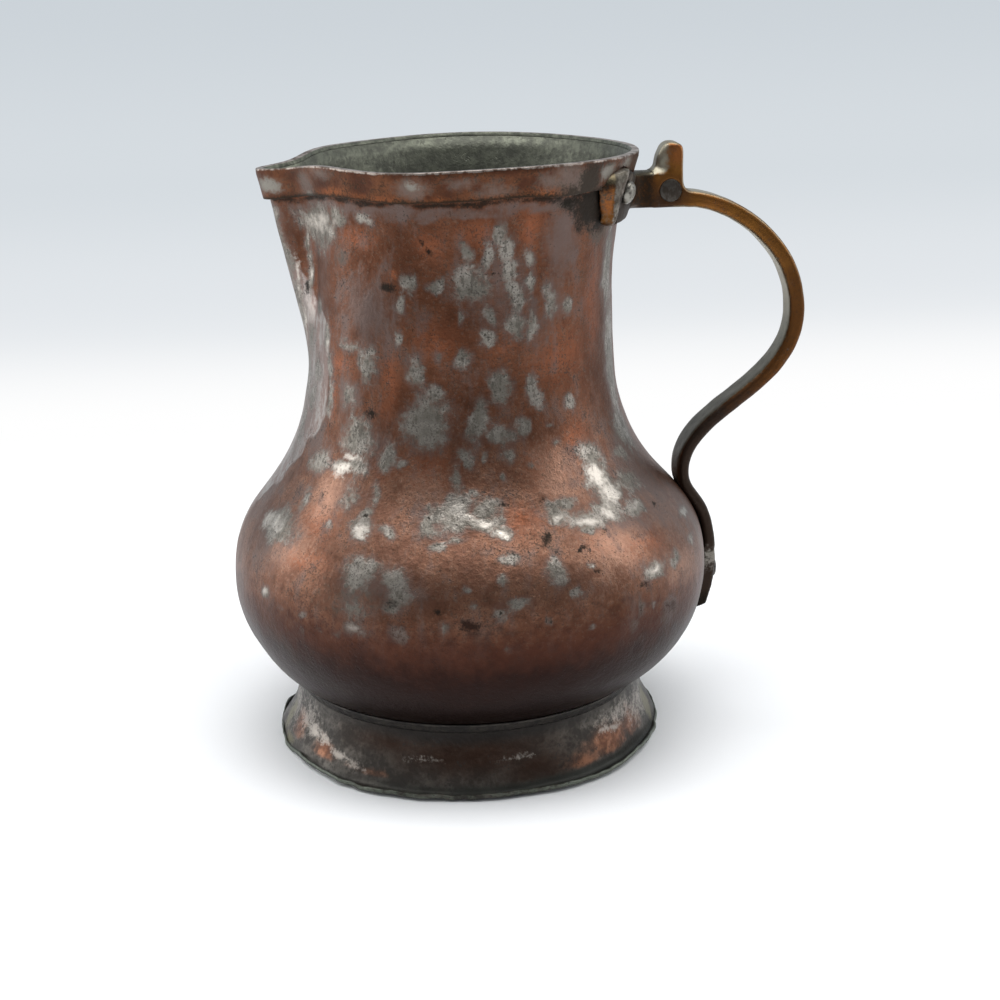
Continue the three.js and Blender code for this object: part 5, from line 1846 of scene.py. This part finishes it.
    def build(self) -> bpy.types.Object:
        """Makes the piece, gives its skin a casting's grain, and finishes it.

        Returns:
            The handle.
        """
        mesh = self.mesh()
        places, out = from_frame(places_of(mesh)), directions_of(mesh)
        x, y, z = places.T
        outer = ease(np.sum(out * outward_of(places), axis=1), *self.wing_facing)
        wing = (x < self.bow_from) * (z > self.saddle_bottom) * outer
        cast = self.cast.at(places)
        cast -= wing * self.groove_depth * bell(np.abs(y), *self.groove_at)
        cast += wing * self.ridge_height * bell(np.abs(y), *self.ridge_at)
        places += out * cast[:, None]
        places[:, 1] *= 1 + self.throat_spread * bell(z, *self.throat_at) * (x > self.bow_from)
        post = x > self.post_from
        places[:, 1] *= 1 - self.post_taper * ease(x, 71.5, 66.5) * ease(z, 190.5, 193.5) * post
        bulge = ease(x, 72, 67) * ease(z, 189.5, 193) * ease(z, 203, 196)
        places[:, 0] -= self.post_spread * bulge * post
        put_places(mesh, to_frame(places))
        self.mark(mesh)
        return seated(shown(mesh, "handle_casting"), "handle", self.finish.make())


@dataclass
class Rivet:
    """A hammered rivet through a wing or the tab."""

    node: str
    finish: bpy.types.Material
    cuts: int = 2
    facets: Lumps = Lumps(2.2, 0.18, 2.0)

    def build(self) -> bpy.types.Object:
        """Rounds and hammers a copy of the solid, and gives it its finish.

        Returns:
            The rivet.
        """
        piece = self.node + "_hammered"
        shape = merged_copy(self.node)
        bmesh.ops.triangulate(shape, faces=shape.faces[:])
        bmesh.ops.subdivide_edges(shape, edges=shape.edges[:], cuts=self.cuts, use_grid_fill=True)
        smoothed(shape, shape.verts[:])
        mesh = mesh_from(shape, piece)
        places, out = from_frame(places_of(mesh)), directions_of(mesh)
        put_places(mesh, to_frame(places + out * self.facets.at(places)[:, None]))
        return seated(shown(mesh, piece), self.node, self.finish)


@dataclass
class CrossPin:
    """The pin driven through the foot of the thumb post and filed flush."""

    finish: FiledIron
    edge_round: float = 0.25
    edge_segments: int = 2
    spread: float = 1.12

    def build(self) -> bpy.types.Object:
        """Breaks the edges of a copy of the solid, and gives it its finish.

        Returns:
            The pin.
        """
        shape = merged_copy("cross_pin")
        low, high = (Vector(corner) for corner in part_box("cross_pin"))
        middle = Matrix.Translation(-(low + high) / 2)
        bmesh.ops.scale(shape, verts=shape.verts[:], vec=(self.spread, 1.0, self.spread), space=middle)
        rounded(shape, self.edge_round * MM, self.edge_segments)
        pin = shown(mesh_from(shape, "cross_pin_filed"), "cross_pin_filed")
        return seated(pin, "cross_pin", self.finish.make())


# Studio


@dataclass(frozen=True)
class Lamp:
    """A soft rectangular lamp that looks at the pitcher."""

    name: str
    place: tuple[float, float, float]
    size: tuple[float, float]
    power: float


@dataclass
class Studio:
    """The floor, the backdrop, the lamps and the camera."""

    aim: tuple = (-0.01, 0.0, 0.1)
    floor_colour: str = "#f4f5f6"
    white: str = "#ffffff"
    haze: str = "#e3e7eb"
    sky_low: str = "#d6dce1"
    sky_high: str = "#ccd3d9"
    camera_place: tuple = (-68.341, -568.827, 254.0)
    camera_right: tuple = (0.993501, -0.112780, -0.015369)
    camera_up: tuple = (0.047278, 0.286060, 0.957045)
    camera_forward: tuple = (0.103540, 0.951552, -0.289533)
    lens: float = 62.424
    sensor: float = 36.0
    clip: tuple = (0.01, 50.0)
    floor_reach: float = 3.0
    bend_start: float = 0.7
    bend_radius: float = 0.5
    bend_rows: int = 25
    wall_top: float = 2.0
    glow_start: float = 0.12
    glow_full: float = 0.45
    haze_at: float = 0.84
    low_at: float = 0.09
    high_at: float = 0.25
    front_dark: float = 0.3
    front_range: tuple = (-0.8, 0.5)
    fill: float = 0.5
    lamps: tuple = (
        Lamp("soft_top", (-0.05, -0.15, 1.1), (1.4, 0.8), 14.0),
        Lamp("soft_left", (-1.1, 0.15, 0.4), (0.6, 0.9), 4.5),
        Lamp("soft_right", (1.1, -0.1, 0.6), (0.4, 0.9), 4.0),
    )

    def paper(self) -> bpy.types.Material:
        """Pale paper that takes the pitcher's shadow in front, and is seen evenly lit further back.

        Returns:
            The paper.
        """
        s = Shading("paper_sweep_pale")
        _, depth, height = (s.add("ShaderNodeSeparateXYZ", {0: s.place}, out=axis) for axis in range(3))
        far = s.torn(depth, self.glow_full, self.haze_at)
        tone = s.lay(Coat(linear(self.white)), Coat(linear(self.haze)), far)
        tone = s.lay(tone, Coat(linear(self.sky_low)), s.torn(height, 0.0, self.low_at))
        tone = s.lay(tone, Coat(linear(self.sky_high)), s.torn(height, self.low_at, self.high_at))
        glow = s.add("ShaderNodeEmission", {"Color": tone.colour, "Strength": 1.0})
        matt = s.add("ShaderNodeBsdfDiffuse", {"Color": linear(self.floor_colour)})
        share = s.total((s.torn(depth, self.glow_start, self.glow_full), seen_rays(s)))
        both = s.add("ShaderNodeMixShader", {0: share, 1: matt, 2: glow})
        s.add("ShaderNodeOutputMaterial", {"Surface": both})
        return s.material

    def sweep(self) -> None:
        """Makes the pale floor that bends up to a plain backdrop."""
        start, radius = self.bend_start, self.bend_radius
        turns = np.linspace(0, math.pi / 2, self.bend_rows)
        bend = [(start + radius * math.sin(turn), radius * (1 - math.cos(turn))) for turn in turns]
        line = [(-self.floor_reach, 0.0), *bend, (start + radius, self.wall_top)]
        shape = bmesh.new()
        points = [shape.verts.new((-self.floor_reach, y, z)) for y, z in line]
        edges = [shape.edges.new(pair) for pair in zip(points, points[1:])]
        drawn = bmesh.ops.extrude_edge_only(shape, edges=edges)
        moved = [item for item in drawn["geom"] if isinstance(item, bmesh.types.BMVert)]
        bmesh.ops.translate(shape, verts=moved, vec=(2 * self.floor_reach, 0, 0))
        for face in shape.faces:
            face.normal_update()
            if face.normal.z - face.normal.y < 0:
                face.normal_flip()
        floor = shown(mesh_from(shape, "studio_floor"), "studio_floor")
        floor.data.materials.append(self.paper())

    def sky(self) -> None:
        """Lights the world softly, and shows it pale to the camera and in the metal."""
        world = bpy.data.worlds.new("studio_world")
        bpy.context.scene.world = world
        tree = Tree(world)
        way = tree.add("ShaderNodeTexCoord", out="Generated")
        depth = tree.add("ShaderNodeSeparateXYZ", {0: way}, out="Y")
        front, back = self.front_range
        ends = {"Value": depth, "From Min": front, "From Max": back, "To Min": self.front_dark, "To Max": 1.0}
        mirrored = tree.add("ShaderNodeMapRange", ends)
        metal = tree.add("ShaderNodeLightPath", out="Is Glossy Ray")
        strength = tree.add("ShaderNodeMix", {0: seen_rays(tree), 2: self.fill, 3: 1.0}, data_type="FLOAT")
        strength = tree.add("ShaderNodeMix", {0: metal, 2: strength, 3: mirrored}, data_type="FLOAT")
        glow = tree.add("ShaderNodeBackground", {"Color": linear(self.haze), "Strength": strength})
        tree.add("ShaderNodeOutputWorld", {"Surface": glow})

    def light(self) -> None:
        """Hangs the lamps."""
        for lamp in self.lamps:
            data = bpy.data.lights.new(lamp.name, "AREA")
            data.shape = "RECTANGLE"
            data.size, data.size_y = lamp.size
            data.energy = lamp.power
            item = bpy.data.objects.new(lamp.name, data)
            item.location = lamp.place
            item.rotation_euler = (Vector(self.aim) - item.location).to_track_quat("-Z", "Y").to_euler()
            bpy.context.scene.collection.objects.link(item)

    def camera(self) -> None:
        """Sets the camera where the photograph was taken from."""
        data = bpy.data.cameras.new("photo_camera")
        data.sensor_fit, data.sensor_width, data.lens = "HORIZONTAL", self.sensor, self.lens
        data.clip_start, data.clip_end = self.clip
        item = bpy.data.objects.new("photo_camera", data)
        backward = -Vector(self.camera_forward)
        turn = Matrix((self.camera_right, self.camera_up, backward)).transposed().to_4x4()
        item.matrix_world = Matrix.Translation(Vector(self.camera_place) * MM) @ turn
        bpy.context.scene.collection.objects.link(item)
        bpy.context.scene.camera = item

    def build(self) -> None:
        """Sets up the whole studio."""
        bpy.context.scene.view_settings.view_transform = "Standard"
        self.camera()
        self.sweep()
        self.sky()
        self.light()


def seen_rays(tree: Tree) -> bpy.types.NodeSocket:
    """Is 1 for what the camera sees, straight or in metal or glass, and 0 for what lights the pitcher.

    Args:
        tree: The tree that takes the nodes.

    Returns:
        The number's socket.
    """
    seen = tree.add("ShaderNodeLightPath", out="Is Camera Ray")
    for name in ("Is Glossy Ray", "Is Transmission Ray"):
        other = tree.add("ShaderNodeLightPath", out=name)
        seen = tree.add("ShaderNodeMath", {0: seen, 1: other}, operation="MAXIMUM")
    return seen


def main() -> None:
    """Builds the pieces in order, then the studio."""
    logging.basicConfig(level=logging.INFO, format="%(message)s")
    form = VesselForm()
    rivet_finish = TinnedRivet().make()
    Body(form, RaisedCopper()).build()
    RimBand(form, BandCopper()).build()
    FootRing(form, FootCopper()).build()
    FootSolder(form, WipedTin()).build()
    Handle(form, CastBrass()).build()
    for node in ("saddle_rivet_near", "saddle_rivet_far", "tab_rivet"):
        Rivet(node, rivet_finish).build()
    CrossPin(FiledIron()).build()
    Studio().build()
    bpy.context.view_layer.update()


if __name__ == "__main__":
    main()
